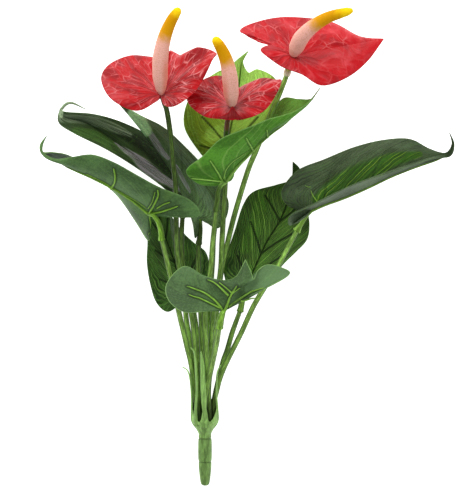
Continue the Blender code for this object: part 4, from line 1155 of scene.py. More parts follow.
class Finish:
    """A material in the making: its nodes, its shader, and the colour as laid so far."""

    def __init__(self, name, roughness, coat=0.0, gloss=0.3):
        if name in bpy.data.materials:
            bpy.data.materials.remove(bpy.data.materials[name])
        self.material = bpy.data.materials.new(name)
        self.material.use_nodes = True
        self.tree = self.material.node_tree
        self.shader = self.tree.nodes["Principled BSDF"]
        self.shader.inputs["Roughness"].default_value = roughness
        self.shader.inputs["Coat Weight"].default_value = coat
        self.shader.inputs["Coat Roughness"].default_value = 0.25
        self.shader.inputs["Specular IOR Level"].default_value = gloss
        self.colour = None

    def put(self, kind, inputs, out=0, **options):
        """Adds a node, sets its options and inputs, and returns one of its outputs."""
        node = self.tree.nodes.new("ShaderNode" + kind)
        for key, value in options.items():
            setattr(node, key, value)
        for key, value in inputs.items():
            if isinstance(value, bpy.types.NodeSocket):
                self.tree.links.new(value, node.inputs[key])
            else:
                node.inputs[key].default_value = value
        return node.outputs[out]

    def sums(self, operation, a, b=0.0, c=0.0):
        """One step of arithmetic on numbers."""
        return self.put("Math", {0: a, 1: b, 2: c}, operation=operation)

    def times(self, a, b):
        """The product of two numbers."""
        return self.sums("MULTIPLY", a, b)

    def scaled(self, value, share, base):
        """The value times the share, plus the base."""
        return self.sums("MULTIPLY_ADD", value, share, base)

    def ramp(self, value, low, high, start=0.0, end=1.0):
        """start where the value is at low, end where it is at high, and a smooth step between them."""
        inputs = {"Value": value, "From Min": low, "From Max": high, "To Min": start, "To Max": end}
        return self.put("MapRange", inputs, interpolation_type="SMOOTHSTEP")

    def stripe(self, value, width):
        """1 where the value is a whole number, falling to 0 at width from it."""
        return self.ramp(self.sums("PINGPONG", value, 0.5), 0.0, width, 1.0, 0.0)

    def mixed(self, share, a, b, blend="MIX"):
        """Colour a where the share is 0 and colour b where it is 1."""
        a, b = ((*colour, 1) if isinstance(colour, tuple) else colour for colour in (a, b))
        return self.put("Mix", {0: share, 6: a, 7: b}, out=2, data_type="RGBA", blend_type=blend)

    def lay(self, share, colour, blend="MIX"):
        """Lays a colour over the one so far, as strongly as the share says."""
        self.colour = self.mixed(share, self.colour, colour, blend)

    def object_spot(self):
        """The place on the piece, in metres."""
        return self.put("TexCoord", {}, out=3)

    def mark(self, key):
        """The number that the piece carries under this name at each of its points."""
        return self.put("Attribute", {}, out=2, attribute_name=key)

    def grain(self):
        """The three numbers of the piece's grain."""
        vector = self.put("Attribute", {}, out=1, attribute_name="grain")
        parts = self.tree.nodes.new("ShaderNodeSeparateXYZ")
        self.tree.links.new(vector, parts.inputs[0])
        return parts.outputs[0], parts.outputs[1], parts.outputs[2]

    def noise(self, spot, scale, detail=2.0, distortion=0.0):
        """Soft noise of about 0.5 in the mean. The scale is the number of its clouds to one unit of spot."""
        inputs = {"Vector": spot, "Scale": scale, "Detail": detail, "Distortion": distortion}
        return self.put("TexNoise", inputs)

    def vein_noise(self, vein_place, across, counts, detail, distortion=0.0, layer=0.0):
        """Noise drawn out along the veins: counts of clouds from base to tip and from midrib to margin."""
        rows, columns = counts
        spot = {0: self.times(vein_place, rows), 1: self.times(across, columns), 2: layer}
        return self.noise(self.put("CombineXYZ", spot), 1.0, detail, distortion)

    def bumps(self, height, depth, strength):
        """Lets the height shade the surface, depth metres at height 1."""
        out = self.put("Bump", {"Height": height, "Distance": depth, "Strength": strength})
        self.tree.links.new(out, self.shader.inputs["Normal"])

    def done(self):
        """The material, with the colour as laid so far on it."""
        self.tree.links.new(self.colour, self.shader.inputs["Base Color"])
        return self.material


def printed_top(label, look, settings):
    """Top face of a blade: green ground, veins, painted shade in patches and in the grooves over the ribs,
    and painted grey glare in streaks.
    """
    skin = Finish(f"leaf_{label}_top", 0.5, gloss=0.1)
    spot = skin.object_spot()
    vein_place, across, margin = skin.grain()
    rib, shine, glow, pale, dark = (skin.mark(key) for key in ("rib", "shine", "glow", "pale", "dark"))
    wobble = skin.noise(spot, 110.0)
    patch = skin.noise(spot, 70.0, 3.0)
    grit = skin.noise(spot, 1100.0)
    far = skin.sums("ABSOLUTE", across)
    bent = skin.scaled(wobble, 0.022, vein_place)
    streak = skin.ramp(skin.vein_noise(bent, across, (70.0, 2.2), 3.0, 0.5), 0.36, 0.64)
    thread = skin.vein_noise(bent, across, (150.0, 3.0), 2.0, 0.3, layer=4.0)
    side_vein = skin.stripe(skin.times(bent, look["count"]), 0.12)
    fine_vein = skin.stripe(skin.times(skin.scaled(wobble, 0.02, bent), 96.0), 0.32)

    # The plain green, and over it the bright green of the patches and beside the midrib.
    low, high = (shaded(look["top"], 1 + part * look["grit"]) for part in (-0.5, 0.5))
    skin.colour = skin.mixed(skin.ramp(patch, 0.32, 0.68), low, high)
    near = skin.ramp(far, 0.05, 0.75, look["near"], 0.0)
    bright = skin.sums("MAXIMUM", glow, skin.times(near, skin.ramp(patch, 0.35, 0.7)))
    fresh = skin.scaled(streak, look["grit"], 1 - look["grit"])
    skin.lay(bright, skin.mixed(fresh, shaded(look["glow"], 0.4), shaded(look["glow"], 1.1)))

    # Dark grit and dark threads, and lighter threads between them.
    for pattern, part in ((grit, 0.6), (thread, 0.8)):
        skin.lay(skin.ramp(pattern, 0.36, 0.52, part * look["grit"], 0.0), shaded(look["top"], 0.25))
    lively = tuple(0.5 * (plain + 1.7 * light) for plain, light in zip(look["top"], look["glow"]))
    skin.lay(skin.ramp(thread, 0.52, 0.68, 0.0, 0.5 * look["grit"]), lively)

    # Side veins in some places, and fine veins.
    some = skin.ramp(skin.vein_noise(bent, across, (21.0, 2.6), 1.0), 0.38, 0.62)
    strength = skin.times(skin.scaled(bright, 0.8, look["plain_veins"]), look["veins"])
    skin.lay(skin.times(side_vein, skin.times(strength, some)), look["vein_colour"])
    thin = skin.times(fine_vein, skin.ramp(far, 0.0, 1.0, 0.35 * look["veins"], 0.15 * look["veins"]))
    skin.lay(skin.times(thin, 4.0 * look["plain_veins"] + 0.2), look["vein_colour"])

    # Painted shade in dark patches, with flecks of green.
    skin.lay(skin.times(dark, 0.85), shaded(look["top"], 0.3))
    flecks = skin.ramp(skin.noise(spot, 600.0), 0.54, 0.66, 0.0, 0.7)
    skin.lay(skin.times(dark, flecks), shaded(look["glow"], 0.45))

    # Painted grey glare, drawn out along the blade and broken by dark lines.
    line = skin.ramp(skin.vein_noise(bent, across, (8.0, 40.0), 2.0, 0.4), 0.42, 0.55, 0.08, 1.0)
    painted_glare = skin.times(skin.times(skin.scaled(streak, 0.3, 0.7), shine), line)
    painted_glare = skin.sums("MAXIMUM", painted_glare, skin.times(streak, 0.25 * look["grey"]))
    weak_glare = look.get("streaks", look["sheen"])
    skin.lay(painted_glare, skin.mixed(skin.ramp(shine, 0.55, 0.9), weak_glare, look["sheen"]))

    # Grooves over the ribs darkened with painted shade, pale patches, and the cut edge.
    groove = skin.ramp(rib, 0.45, 1.2, 1.0, 0.0)
    skin.lay(skin.times(groove, look["groove"]), shaded(look["top"], 0.15))
    skin.lay(pale, skin.mixed(skin.ramp(grit, 0.35, 0.65), shaded(look["turned"], 0.7), look["turned"]))
    rim = skin.times(skin.ramp(margin, 0.1, 0.6, 1.0, 0.0), skin.ramp(across, -0.01, 0.01, *look["edge"]))
    skin.lay(rim, tuple(settings.margin))

    skin.tree.links.new(skin.scaled(streak, -0.10, 0.55), skin.shader.inputs["Roughness"])
    height = skin.scaled(side_vein, 0.5, skin.times(fine_vein, 0.3))
    height = skin.scaled(streak, 0.8, height)
    height = skin.sums("SUBTRACT", height, skin.times(groove, 1.7 * look["groove"]))
    skin.bumps(height, 0.3 * MM, 0.9)
    return skin.done()


def printed_under(label, look, settings):
    """Underside of a blade: mottled green with faint side veins, painted shadow beside the ribs, painted
    shade in dark patches, a pale cut edge.
    """
    skin = Finish(f"leaf_{label}_under", 0.5, gloss=0.15)
    spot = skin.object_spot()
    vein_place, across, margin = skin.grain()
    rib, pale, dark = (skin.mark(key) for key in ("rib", "pale", "dark"))
    patch = skin.noise(spot, 60.0, 3.0)
    wide = skin.noise(spot, 22.0, 1.0)
    speck = skin.noise(spot, 700.0, 3.0)
    bent = skin.scaled(patch, 0.03, vein_place)
    vein = skin.stripe(skin.times(bent, 17.0), 0.10)
    thin = skin.stripe(skin.times(bent, 70.0), 0.35)
    green = look["under"]

    tone = skin.ramp(skin.scaled(patch, 0.5, skin.times(wide, 0.5)), 0.42, 0.58)
    skin.colour = skin.mixed(tone, shaded(green, 0.68), shaded(green, 1.30))
    skin.lay(skin.ramp(speck, 0.36, 0.52, 0.35, 0.0), shaded(green, 0.5))
    skin.lay(skin.ramp(speck, 0.5, 0.68, 0.0, 0.35), shaded(green, 1.6))
    skin.lay(skin.times(vein, look["under_veins"]), look["vein_colour"])
    skin.lay(skin.times(thin, 0.12), shaded(green, 1.9))
    # Painted shadow beside the ribs, then painted shade in the dark patches.
    skin.lay(skin.ramp(rib, 0.7, 2.2, look["shade"], 0.0), shaded(green, 0.32))
    skin.lay(skin.times(dark, 0.7), shaded(green, 0.45))
    skin.lay(pale, look["turned"])
    rim = skin.ramp(margin, 0.3 * look["rim"], look["rim"], 1.0, 0.0)
    skin.lay(skin.times(rim, skin.ramp(across, -0.01, 0.01, *look["edge"])), tuple(settings.margin))
    skin.bumps(skin.scaled(vein, 0.4, skin.times(speck, 0.6)), 0.2 * MM, 0.8)
    return skin.done()


def glossy_spathe(label, look, settings):
    """Red film on a spathe: a net of thin pale lines out from the spadix, with deep red in some meshes."""
    skin = Finish(f"spathe_{label}_red", 0.38, 0.06, gloss=0.14)
    spot = skin.object_spot()
    turn, across, reach = skin.grain()
    fold = skin.mark("fold")
    red, deep, light = look["red"], tuple(settings.deep), tuple(settings.light)

    # The place in the net: meshes round the spadix and meshes outwards, both bent a little.
    bend = skin.sums("SUBTRACT", skin.noise(spot, 42.0, 1.0), 0.5)
    round_it = skin.scaled(bend, 1.6, skin.times(turn, look["count"]))
    fan = skin.put("CombineXYZ", {0: round_it, 1: skin.scaled(reach, look["length"], bend)})
    wide_net, fine_net = (
        skin.put(
            "TexVoronoi", {"Vector": fan, "Scale": scale, "Randomness": 1.0}, feature="DISTANCE_TO_EDGE",
            voronoi_dimensions="2D",
        )
        for scale in (1.5, 3.3)
    )
    seen = skin.ramp(skin.noise(spot, 120.0), 0.40, 0.60, 0.1, 1.0)
    line = skin.sums(
        "MAXIMUM",
        skin.times(skin.ramp(wide_net, 0.0, 0.07, 1.0, 0.0), seen),
        skin.times(skin.ramp(fine_net, 0.0, 0.10, 0.4, 0.0), seen),
    )

    haze = skin.ramp(skin.noise(fan, 1.8, 3.0), 0.45, 0.68)
    skin.colour = skin.mixed(skin.times(haze, look["haze"]), red, light)
    dark = skin.times(skin.ramp(skin.noise(fan, 0.9), 0.46, 0.60), skin.sums("SUBTRACT", 1.0, line))
    skin.lay(skin.times(dark, look["deep"]), deep)
    skin.lay(skin.times(line, skin.ramp(across, -0.05, 0.05, *look["lines"])), tuple(settings.line))
    skin.lay(skin.ramp(reach, 2.0, 13.0, look["dusty"], 0.0), tuple(settings.dust))
    # Painted shade on the small fold: deep red, turning red towards its edges.
    skin.lay(fold, skin.mixed(skin.ramp(fold, 0.9, 1.0), deep, red))
    height = skin.scaled(skin.ramp(wide_net, 0.0, 0.3), -1.0, skin.noise(spot, 320.0))
    skin.bumps(height, 0.35 * MM, 0.8)
    return skin.done()


def spadix_skin(label, look, settings):
    """Pink at the foot of the spadix, painted shade in salmon on one side of it and at its foot, then orange
    and yellow, all speckled, with painted shade in its pits.
    """
    skin = Finish(f"spadix_{label}_skin", 0.6, gloss=0.06)
    spot = skin.object_spot()
    share, aside, relief = skin.grain()
    blur = skin.sums("SUBTRACT", skin.noise(spot, 260.0), 0.5)
    share = skin.scaled(blur, 0.10, share)
    turn = look["turn"]
    salmon = tuple(settings.salmon)
    # Painted shade in salmon on one side of the spadix and round its foot.
    side = skin.ramp(skin.times(aside, look["salmon"]), -0.05, 0.75)
    side = skin.times(side, skin.ramp(share, 0.25, 0.5, 1.0, 0.15))
    speckle = skin.ramp(skin.noise(spot, 1000.0, 1.0), 0.42, 0.70, 0.0, 0.2)
    skin.colour = skin.mixed(side, tuple(settings.pink), salmon)
    skin.lay(skin.ramp(share, 0.0, 0.10, 0.5, 0.0), salmon)
    skin.lay(speckle, PINK_SPECKLE)
    # Painted shade in the pits between the bumps.
    skin.lay(skin.ramp(relief, 0.0, 0.6, 0.25, 0.0), PIT_SHADE)
    skin.lay(skin.ramp(share, turn - 0.12, turn + 0.05), tuple(settings.orange))
    skin.lay(skin.ramp(share, turn + 0.02, turn + 0.2), tuple(settings.gold))
    skin.lay(skin.times(speckle, 0.8), GOLD_SPECKLE)
    skin.lay(skin.ramp(share, 0.84, 0.97), tuple(settings.yellow))
    return skin.done()


def moulded(name, green, stains_and_shade=(), roughness=0.42, painted_side_shade=0.0, drawn=1.0):
    """Moulded plastic: long streaks and fine blotches on one green, then a colour for each (mark, colour):
    rose and bead on the stems, and painted shade in the cup and on the collars.

    The mark "tone", which every moulded piece carries, multiplies the green; on the stems it is painted light
    and shade. The last two arguments say how dark the painted shade on a tube's two sides is, and how
    strongly the streaks show.
    """
    skin = Finish(name, roughness, 0.03, gloss=0.15)
    length, round_one, round_two = skin.grain()
    tone = skin.mark("tone")
    streak_spot = skin.put("CombineXYZ", {0: skin.times(length, 0.04), 1: round_one, 2: round_two})
    streak = skin.noise(streak_spot, 2.6, 3.0)
    thread = skin.noise(streak_spot, 6.5, 1.0)
    blotch = skin.noise(skin.object_spot(), 260.0, 3.0)
    low, high = (shaded(green, 1 + part * drawn) for part in (-0.45, 0.45))
    skin.colour = skin.mixed(skin.ramp(streak, 0.38, 0.62), low, high)
    skin.lay(skin.ramp(blotch, 0.35, 0.65, 0.4 * drawn, 0.0), low)
    skin.lay(skin.ramp(thread, 0.36, 0.48, 0.5 * drawn, 0.0), shaded(green, 0.4))
    skin.lay(skin.ramp(thread, 0.52, 0.66, 0.0, 0.5 * drawn), shaded(green, 1.9))
    # Painted shade on the two sides of a tube.
    skin.lay(skin.ramp(skin.sums("ABSOLUTE", round_two), 0.45, 0.95, 0.0, painted_side_shade), shaded(green, 0.25))
    skin.lay(1.0, skin.put("CombineXYZ", {0: tone, 1: tone, 2: tone}), blend="MULTIPLY")
    for key, colour in stains_and_shade:
        stain_and_shade = skin.mixed(skin.ramp(streak, 0.4, 0.64), shaded(colour, 0.7), shaded(colour, 1.5))
        skin.lay(skin.mark(key), stain_and_shade)
    skin.bumps(skin.scaled(streak, 0.8, blotch), 0.2 * MM, 0.6)
    return skin.done()


def stage_floor(colour, glow):
    """Pale floor that also gives off some light, so that shadows on it stay faint."""
    skin = Finish("stage_floor", 0.8)
    skin.colour = skin.mixed(skin.noise(skin.object_spot(), 3.0), shaded(colour, 0.99), colour)
    skin.tree.links.new(skin.colour, skin.shader.inputs["Emission Color"])
    skin.shader.inputs["Emission Strength"].default_value = glow
    return skin.done()


def rib_lines(leaf):
    """The lines of u and v that the midrib and the side ribs of a leaf's entry follow."""
    last_row = ROWS_COUNTED * (len(leaf["left"]) - 1)
    end = leaf.get("midrib_end", last_row - 2) / last_row
    long, short = np.linspace(0, 1, LONG_RINGS), np.linspace(0, 1, MIDDLE_RINGS)
    lines = [(fan_share(leaf) + (end - fan_share(leaf)) * long, 0 * long)]
    for side, ribs in ((-1, leaf.get("left_ribs", ())), (1, leaf.get("right_ribs", ()))):
        for row, advance, columns in ribs:
            u = (row + advance * columns * short) / last_row
            lines.append((u, side * columns / COLUMNS_COUNTED * short))
    return lines


def smoothed(values):
    """Each number as the mean of itself and the three on either side."""
    return np.convolve(np.pad(values, 3, mode="edge"), np.ones(7) / 7, mode="valid")


def on_sheet(sheet, listed, side):
    """Points and normals of the sheet under a line of photo x and y, on one side of its midrib.

    Each place is the mean of its six closest grid points, weighted by 1 / distance^2. Heights and normals are
    then smoothed along the line.
    """
    spots = place_flat(along(listed, np.linspace(0, 1, LINE_STEPS)))
    usable = np.flatnonzero(sheet.grid_v * side > -0.02)
    apart = np.linalg.norm(sheet.points[None, usable, :2] - spots[:, None, :2], axis=2)
    near = np.argsort(apart, axis=1)[:, :6]
    weight = 1 / (np.take_along_axis(apart, near, axis=1) ** 2 + (0.1 * MM) ** 2)
    weight = weight / weight.sum(axis=1, keepdims=True)
    chosen = usable[near]
    spots[:, 2] = smoothed((sheet.points[chosen, 2] * weight).sum(axis=1))
    normals = unit((sheet.normals[chosen] * weight[:, :, None]).sum(axis=1))
    return spots, unit(np.column_stack([smoothed(part) for part in normals.T]))


def rib_paths(label, leaf, sheet):
    """Centre line, normals and end radii (mm, or None) of the midrib and of every side rib under a leaf."""
    midrib, *listed_ribs = rib_lines(leaf)
    paths = [(*sheet.at(*midrib), None)]
    if label in RIBS_SEEN:
        for listed, side, foot, tip in RIBS_SEEN[label]:
            paths.append((*on_sheet(sheet, listed, side), (foot, tip)))
    else:
        for u, v in listed_ribs:
            paths.append((*sheet.at(u, v), None))
    return paths


def nearest(points, lines):
    """Each point's distance to the closest of the lines' points, found for 40 of these at a time."""
    spots = np.vstack(lines)
    found = np.full(len(points), np.inf)
    for some in np.array_split(spots, max(1, len(spots) // 40)):
        apart = np.linalg.norm(points[:, None, :] - some[None, :, :], axis=2).min(1)
        found = np.minimum(found, apart)
    return found


def band_marks(points, bands, across):
    """The strongest of the bands at each point: full inside 0.7 of the half width, nothing past 1.2 of it."""
    found = np.zeros(len(points))
    for listed, side, strength in bands:
        line = along(listed, np.linspace(0, 1, LINE_STEPS))
        apart = np.linalg.norm(points[:, None, :2] - place_flat(line)[None, :, :2], axis=2)
        off = (apart / (line[:, 2] * PIXEL)).min(1)
        mark = strength * smooth_share(np.clip((1.2 - off) / 0.5, 0, 1))
        if side:
            mark = mark * np.clip(0.5 + 12 * side * across, 0, 1)
        found = np.maximum(found, mark)
    return found


def vein_marks(sheet, lean):
    """The vein's place, which is u less a share of |v| past the fan, then v, and the mm to the margin."""
    fan = fan_share(sheet.shape)
    u, v = sheet.grid_u, sheet.grid_v
    slant = lean * smooth_share(np.clip((u - 0.7 * fan) / (0.9 * fan + 0.05), 0, 1))
    return np.column_stack([u - slant * np.abs(v), v, (1 - np.abs(v)) * sheet.reach / MM])


def radial_marks(sheet):
    """The angle round the attachment over pi, then v, and the distance from the attachment in mm."""
    spot = sheet.points[sheet.index[0, 0]]
    along_mid = unit(sheet.points[sheet.index[-1, 0]] - spot)
    aside = unit(np.cross(sheet.normals[sheet.index[0, 0]], along_mid))
    out = sheet.points - spot
    angle = np.arctan2(out @ aside, out @ along_mid) / math.pi
    return np.column_stack([angle, sheet.grid_v, np.linalg.norm(out, axis=1) / MM])


def seat(sheet, distance):
    """The point at a distance (m) over the attachment of a sheet, on its top side."""
    spot = sheet.index[0, 0]
    return sheet.points[spot] + sheet.normals[spot] * distance


def petiole_rings(leaf, collar):
    """Centre line, radii and painted shade of a petiole, from its socket up: two tapers, and a lip at the
    mouth.
    """
    top, middle, mouth, olive = collar
    steps = np.linspace(0, 1, SHORT_RINGS)
    line = along(place(leaf["petiole"], leaf.get("sink", 0.0)), steps[::-1])
    radii = np.interp(steps, (0, 0.35, 1), (mouth, middle, top)) * MM * np.interp(steps, *COLLAR_LIP)
    return line, radii, np.interp(steps, (0.8, 1), (olive, 0.4 * olive))


def foot_rings():
    """Rings of the foot as shares of the way, radii (mm) and how far inside the dish each one is, which is
    how much painted shade it gets.

    Outside, the rings follow the profile's curve up to RIM_SHARE. From there they go straight over the rim
    and down to the floor of the dish.
    """
    outer = along(FOOT_PROFILE, np.linspace(0, 1, LONG_RINGS))
    outer = outer[outer[:, 0] < RIM_SHARE]
    rim_top, rim_inside = (0.975, DISH_RADIUS + 0.7), (RIM_SHARE, DISH_RADIUS)
    corners = np.array([outer[-1], rim_top, rim_inside, (1 - DISH_DEPTH_SHARE, DISH_RADIUS - 0.4)])
    steps = np.linspace(0, 3, 19)[1:]
    inner = np.column_stack([np.interp(steps, np.arange(4), column) for column in corners.T])
    shares, radii = np.vstack([outer, inner]).T
    return shares, radii, np.append(np.zeros(len(outer)), np.linspace(0, 1, len(inner)))


def windowed_wall(ends, radius, thickness, sides):
    """Thin closed wall over the cup's rim, with the windows of WALL_EDGE cut into its upper edge.

    P = C + a y + r (sin t side + cos t front), with t from -180 to 180 degrees and y from below the rim to
    the edge. Both faces run from foot to edge and share a lip. The mark is 1 inside, 0 outside, 0.5 on the
    lip.
    """
    run = unit(ends[1] - ends[0])
    side = unit(np.cross(run, np.array((0.0, 0.0, 1.0))))
    front = np.cross(side, run)
    turn = np.linspace(-math.pi, math.pi, sides, endpoint=False)
    angles, heights = np.array(WALL_EDGE).T
    edge = np.interp(np.degrees(turn), angles, heights) * MM
    up = np.linspace(0, 1, WALL_RINGS)
    rise = np.concatenate([up, [1.0], up[::-1]])
    inside = np.concatenate([0 * up, [0.5], 0 * up + 1])
    lip = np.where(inside == 0.5, 0.25 * thickness, 0.0)
    foot = -WALL_BELOW * MM
    height = foot + (edge[None, :] - foot) * rise[:, None] + lip[:, None]
    ring = radius - WALL_LEAN * np.maximum(height, 0) - thickness * inside[:, None]
    ring = ring * np.interp(height, (foot, -1.0 * MM), (0.93, 1.0))
    points = ends[1] + height[:, :, None] * run + ring[:, :, None] * (
        np.sin(turn)[None, :, None] * side + np.cos(turn)[None, :, None] * front
    )
    spot = np.arange(height.size).reshape(height.shape)
    beside, above = np.roll(spot, -1, axis=1), np.roll(spot, -1, axis=0)
    corner = np.roll(beside, -1, axis=0)
    faces = np.column_stack([spot.ravel(), beside.ravel(), corner.ravel(), above.ravel()]).tolist()
    grain = np.column_stack(
        [height.ravel() / MM, np.tile(np.cos(turn), len(rise)), np.tile(np.sin(turn), len(rise))]
    )
    return (points.reshape(-1, 3), faces, grain), np.repeat(inside, sides)


class SPRAY_OT_blades(bpy.types.Operator):
    """Build the nine leaf blades, printed on one face and plain on the other"""

    bl_idname = "spray.blades"
    bl_label = "Leaf blades"

    def execute(self, context):
        settings = context.scene.spray_blades
        for label, leaf in LEAVES.items():
            look = {**PLAIN_LEAF, **LEAF_LOOKS[label]}
            sheet = Sheet(leaf, settings.rows, settings.columns)
            points, faces, kinds, source = sheet.solid(settings.thickness)
            rib = nearest(sheet.points, [spots for spots, _, _ in rib_paths(label, leaf, sheet)]) / MM
            patches = PATCHES.get(label, {})
            marks = {
                key: band_marks(sheet.points, patches.get(key, []), sheet.grid_v)[source]
                for key in ("shine", "glow", "pale", "dark")
            }
            finishes = [printed_top(label, look, settings), printed_under(label, look, settings)]
            slot = "leaf_fresh" if label in FRESH_LEAVES else "leaf_dark"
            piece(
                f"leaf_{label}", points, faces, finishes, f"blade_{label}", slot, kinds,
                grain=vein_marks(sheet, look["lean"])[source], rib=rib[source], **marks,
            )
        return {"FINISHED"}


class SPRAY_OT_ribs(bpy.types.Operator):
    """Build each leaf's moulded skeleton: collar, petiole, midrib and side ribs"""

    bl_idname = "spray.ribs"
    bl_label = "Leaf ribs"

    def execute(self, context):
        settings = context.scene.spray_ribs
        blade = context.scene.spray_blades.thickness
        # Painted shade on the collars that blades lie over.
        stains_and_shade = [("olive", tuple(settings.olive))]
        for label, leaf in LEAVES.items():
            sheet = Sheet(leaf, *RIB_GRID)
            parts, dark = [], []
            for number, (spots, normals, sizes) in enumerate(rib_paths(label, leaf, sheet)):
                foot = settings.midrib_radius if number == 0 else settings.side_radius
                tip = settings.tip_radius
                if sizes:
                    foot, tip = sizes[0] * MM, sizes[1] * MM
                share = np.linspace(0, 1, len(spots))
                radii = (foot + (tip - foot) * share) * np.interp(share, (0.94, 1), (1, 0.35))
                path = spots - normals * (blade / 2 + radii * 0.45)[:, None]
                gloom = np.zeros(len(path))
                if number == 0:
                    petiole, socket, olive = petiole_rings(leaf, COLLARS[label])
                    path = np.vstack([petiole, path])
                    radii = np.concatenate([socket, radii])
                    normals = np.vstack([np.repeat(normals[:1], len(petiole), axis=0), normals])
                    gloom = np.concatenate([olive, gloom])
                parts.append(swept(path, normals, radii, radii, RIB_SIDES))
                dark.append(ring_marks(gloom, RIB_SIDES))
            for listed, side, foot, tip in TOP_RIBS.get(label, ()):
                spots, normals = on_sheet(sheet, listed, side)
                radii = np.linspace(foot, tip, len(spots)) * MM
                path = spots + normals * (blade / 2 + radii * 0.3)[:, None]
                parts.append(swept(path, normals, radii, radii, TOP_RIB_SIDES))
                dark.append(ring_marks(0 * radii, TOP_RIB_SIDES))
            points, faces, grain = merged(parts)
            skin = moulded(f"rib_{label}", LEAF_LOOKS[label]["rib"], stains_and_shade, painted_side_shade=0.5)
            piece(
                f"skeleton_{label}", points, faces, [skin], f"ribs_{label}", "rib_green", grain=grain,
                olive=np.concatenate(dark), tone=np.ones(len(points)),
            )
        return {"FINISHED"}


class SPRAY_OT_stalks(bpy.types.Operator):
    """Build the twelve stems, from the dish of the foot into the collars and under the blooms"""

    bl_idname = "spray.stalks"
    bl_label = "Stems"

    def execute(self, context):
        settings = context.scene.spray_stalks
        spathe = context.scene.spray_blooms.thickness
        stains_and_shade = [("rose", tuple(settings.rose)), ("bead", tuple(settings.bead))]
        skin = moulded("stalk_green", tuple(settings.colour), stains_and_shade, painted_side_shade=0.8)
        foot_end, foot_rim = place([FOOT_END, FOOT_RIM])
        axis = unit(foot_rim - foot_end)
        floor = foot_end + (foot_rim - foot_end) * (1 - DISH_DEPTH_SHARE) - axis * MM
        share = np.linspace(0, 1, LONG_RINGS)
        for label, listed in STEMS.items():
            kind, key = label.split("_")
            if kind == "flower":
                top = seat(Sheet(SPATHES[key], *STEM_SEAT_GRID), -spathe / 2 + 0.2 * MM)
            else:
                petiole = place(LEAVES[key]["petiole"], LEAVES[key].get("sink", 0.0))
                top = petiole[-1] - 1.5 * MM * unit(petiole[-1] - petiole[-2])
            stations = place(listed)
            stations[0] -= axis * np.dot(stations[0] - floor, axis)
            path = along(np.vstack([stations, top]), share)
            seen_y = CENTRE_Y_PX - path[:, 1] / PIXEL
            radii = np.interp(share, (0.0, 0.12, 0.4, 0.8, 1), (0.88, 0.92, 1, 1, 0.86)) * settings.radius
            bead = 0 * share
            if label in KNOBS:
                middle, half, height = KNOBS[label]
                off = (seen_y - middle) / half
                bead = np.clip(1.6 - 1.6 * np.abs(off), 0, 1)
                radii = radii + height * MM * np.sqrt(np.clip(1 - off**2, 0, 1))
            points, faces, grain = swept(path, (0, 0, 1), radii, radii, STEM_SIDES)
            # Painted light and shade along the stem.
            levels = (min(seen_y[-1], STALK_TOP), *STALK_LEVELS)
            tone = np.interp(seen_y, levels, (*STALK_LIGHT_AND_SHADE[label], *SHADE_BELOW))
            rose = 0 * share
            if label in ROSE_FADES:
                rose = np.interp(seen_y, ROSE_FADES[label], (1, 0))
            tone, rose, bead = (ring_marks(values, STEM_SIDES) for values in (tone, rose, bead))
            piece(
                f"stalk_{label}", points, faces, [skin], f"stem_{label}", "stem_green", grain=grain,
                tone=tone, rose=rose, bead=bead,
            )
        return {"FINISHED"}


class SPRAY_OT_spathes(bpy.types.Operator):
    """Build the three red spathes, the middle one with its small fold"""

    bl_idname = "spray.spathes"
    bl_label = "Spathes"

    def execute(self, context):
        settings = context.scene.spray_blooms
        for label, shape in SPATHES.items():
            sheet = Sheet(shape, *SPATHE_GRID)
            points, faces, _, source = sheet.solid(settings.thickness)
            parts, fold = [(points, faces, radial_marks(sheet)[source])], [np.zeros(len(points))]
            if label in FOLDS:
                small = Sheet(FOLDS[label], *FOLD_GRID)
                points, faces, _, source = small.solid(settings.fold)
                marks = np.column_stack([small.grid_u, small.grid_v, np.full(len(small.grid_u), 8.0)])
                parts.append((points, faces, marks[source]))
                fold.append(0.75 + 0.25 * np.abs(small.grid_v[source]))
            points, faces, grain = merged(parts)
            skin = glossy_spathe(label, BLOOM_LOOKS[label], settings)
            piece(
                f"bract_{label}", points, faces, [skin], f"spathe_{label}", "spathe_red", grain=grain,
                fold=np.concatenate(fold),
            )
        return {"FINISHED"}


class SPRAY_OT_spadices(bpy.types.Operator):
    """Build the three spadices with their fine bumps, which are the product of two screws that cross"""

    bl_idname = "spray.spadices"
    bl_label = "Spadices"

    def execute(self, context):
        settings = context.scene.spray_blooms
        shares, widths = np.array(SPADIX_PROFILE).T
        t = np.linspace(0, 1, LONG_RINGS)
        tip = np.clip((1 - t) / TIP_SHARE, 0, 1)
        rounded = widths[-3] * MM * np.sqrt(np.maximum(1 - (1 - tip) ** 2, 0.01))
        radius = np.interp(t, shares, widths) * MM
        radius = np.where(tip < 1, np.minimum(radius, rounded), radius)
        half_turns = BUMP_ROWS * 2 * math.pi * np.arange(SPADIX_SIDES) / SPADIX_SIDES
        for label, listed in SPADICES.items():
            base = seat(Sheet(SPATHES[label], *BLOOM_SEAT_GRID), settings.thickness / 2 - 0.3 * MM)
            path = along(np.vstack([base, place(listed)]), t)
            length = np.linalg.norm(np.diff(path, axis=0), axis=1).sum()
            climb = math.pi * length / settings.bump_step * t[:, None]
            relief = (np.cos(half_turns + climb) * np.cos(half_turns - climb)) ** 2
            sunk = settings.bump * (relief - 1) * np.minimum(1, radius / (2 * MM))[:, None]
            shaped = 0.975 * radius[:, None] + sunk
            points, faces, grain = swept(path, (1, 0, 0), shaped, shaped, SPADIX_SIDES)
            marks = np.column_stack(
                [ring_marks(t, SPADIX_SIDES), grain[:, 1], np.append(relief.ravel(), [1, 1])]
            )
            skin = spadix_skin(label, BLOOM_LOOKS[label], settings)
            piece(f"spike_{label}", points, faces, [skin], f"spadix_{label}", "spadix", grain=marks)
        return {"FINISHED"}


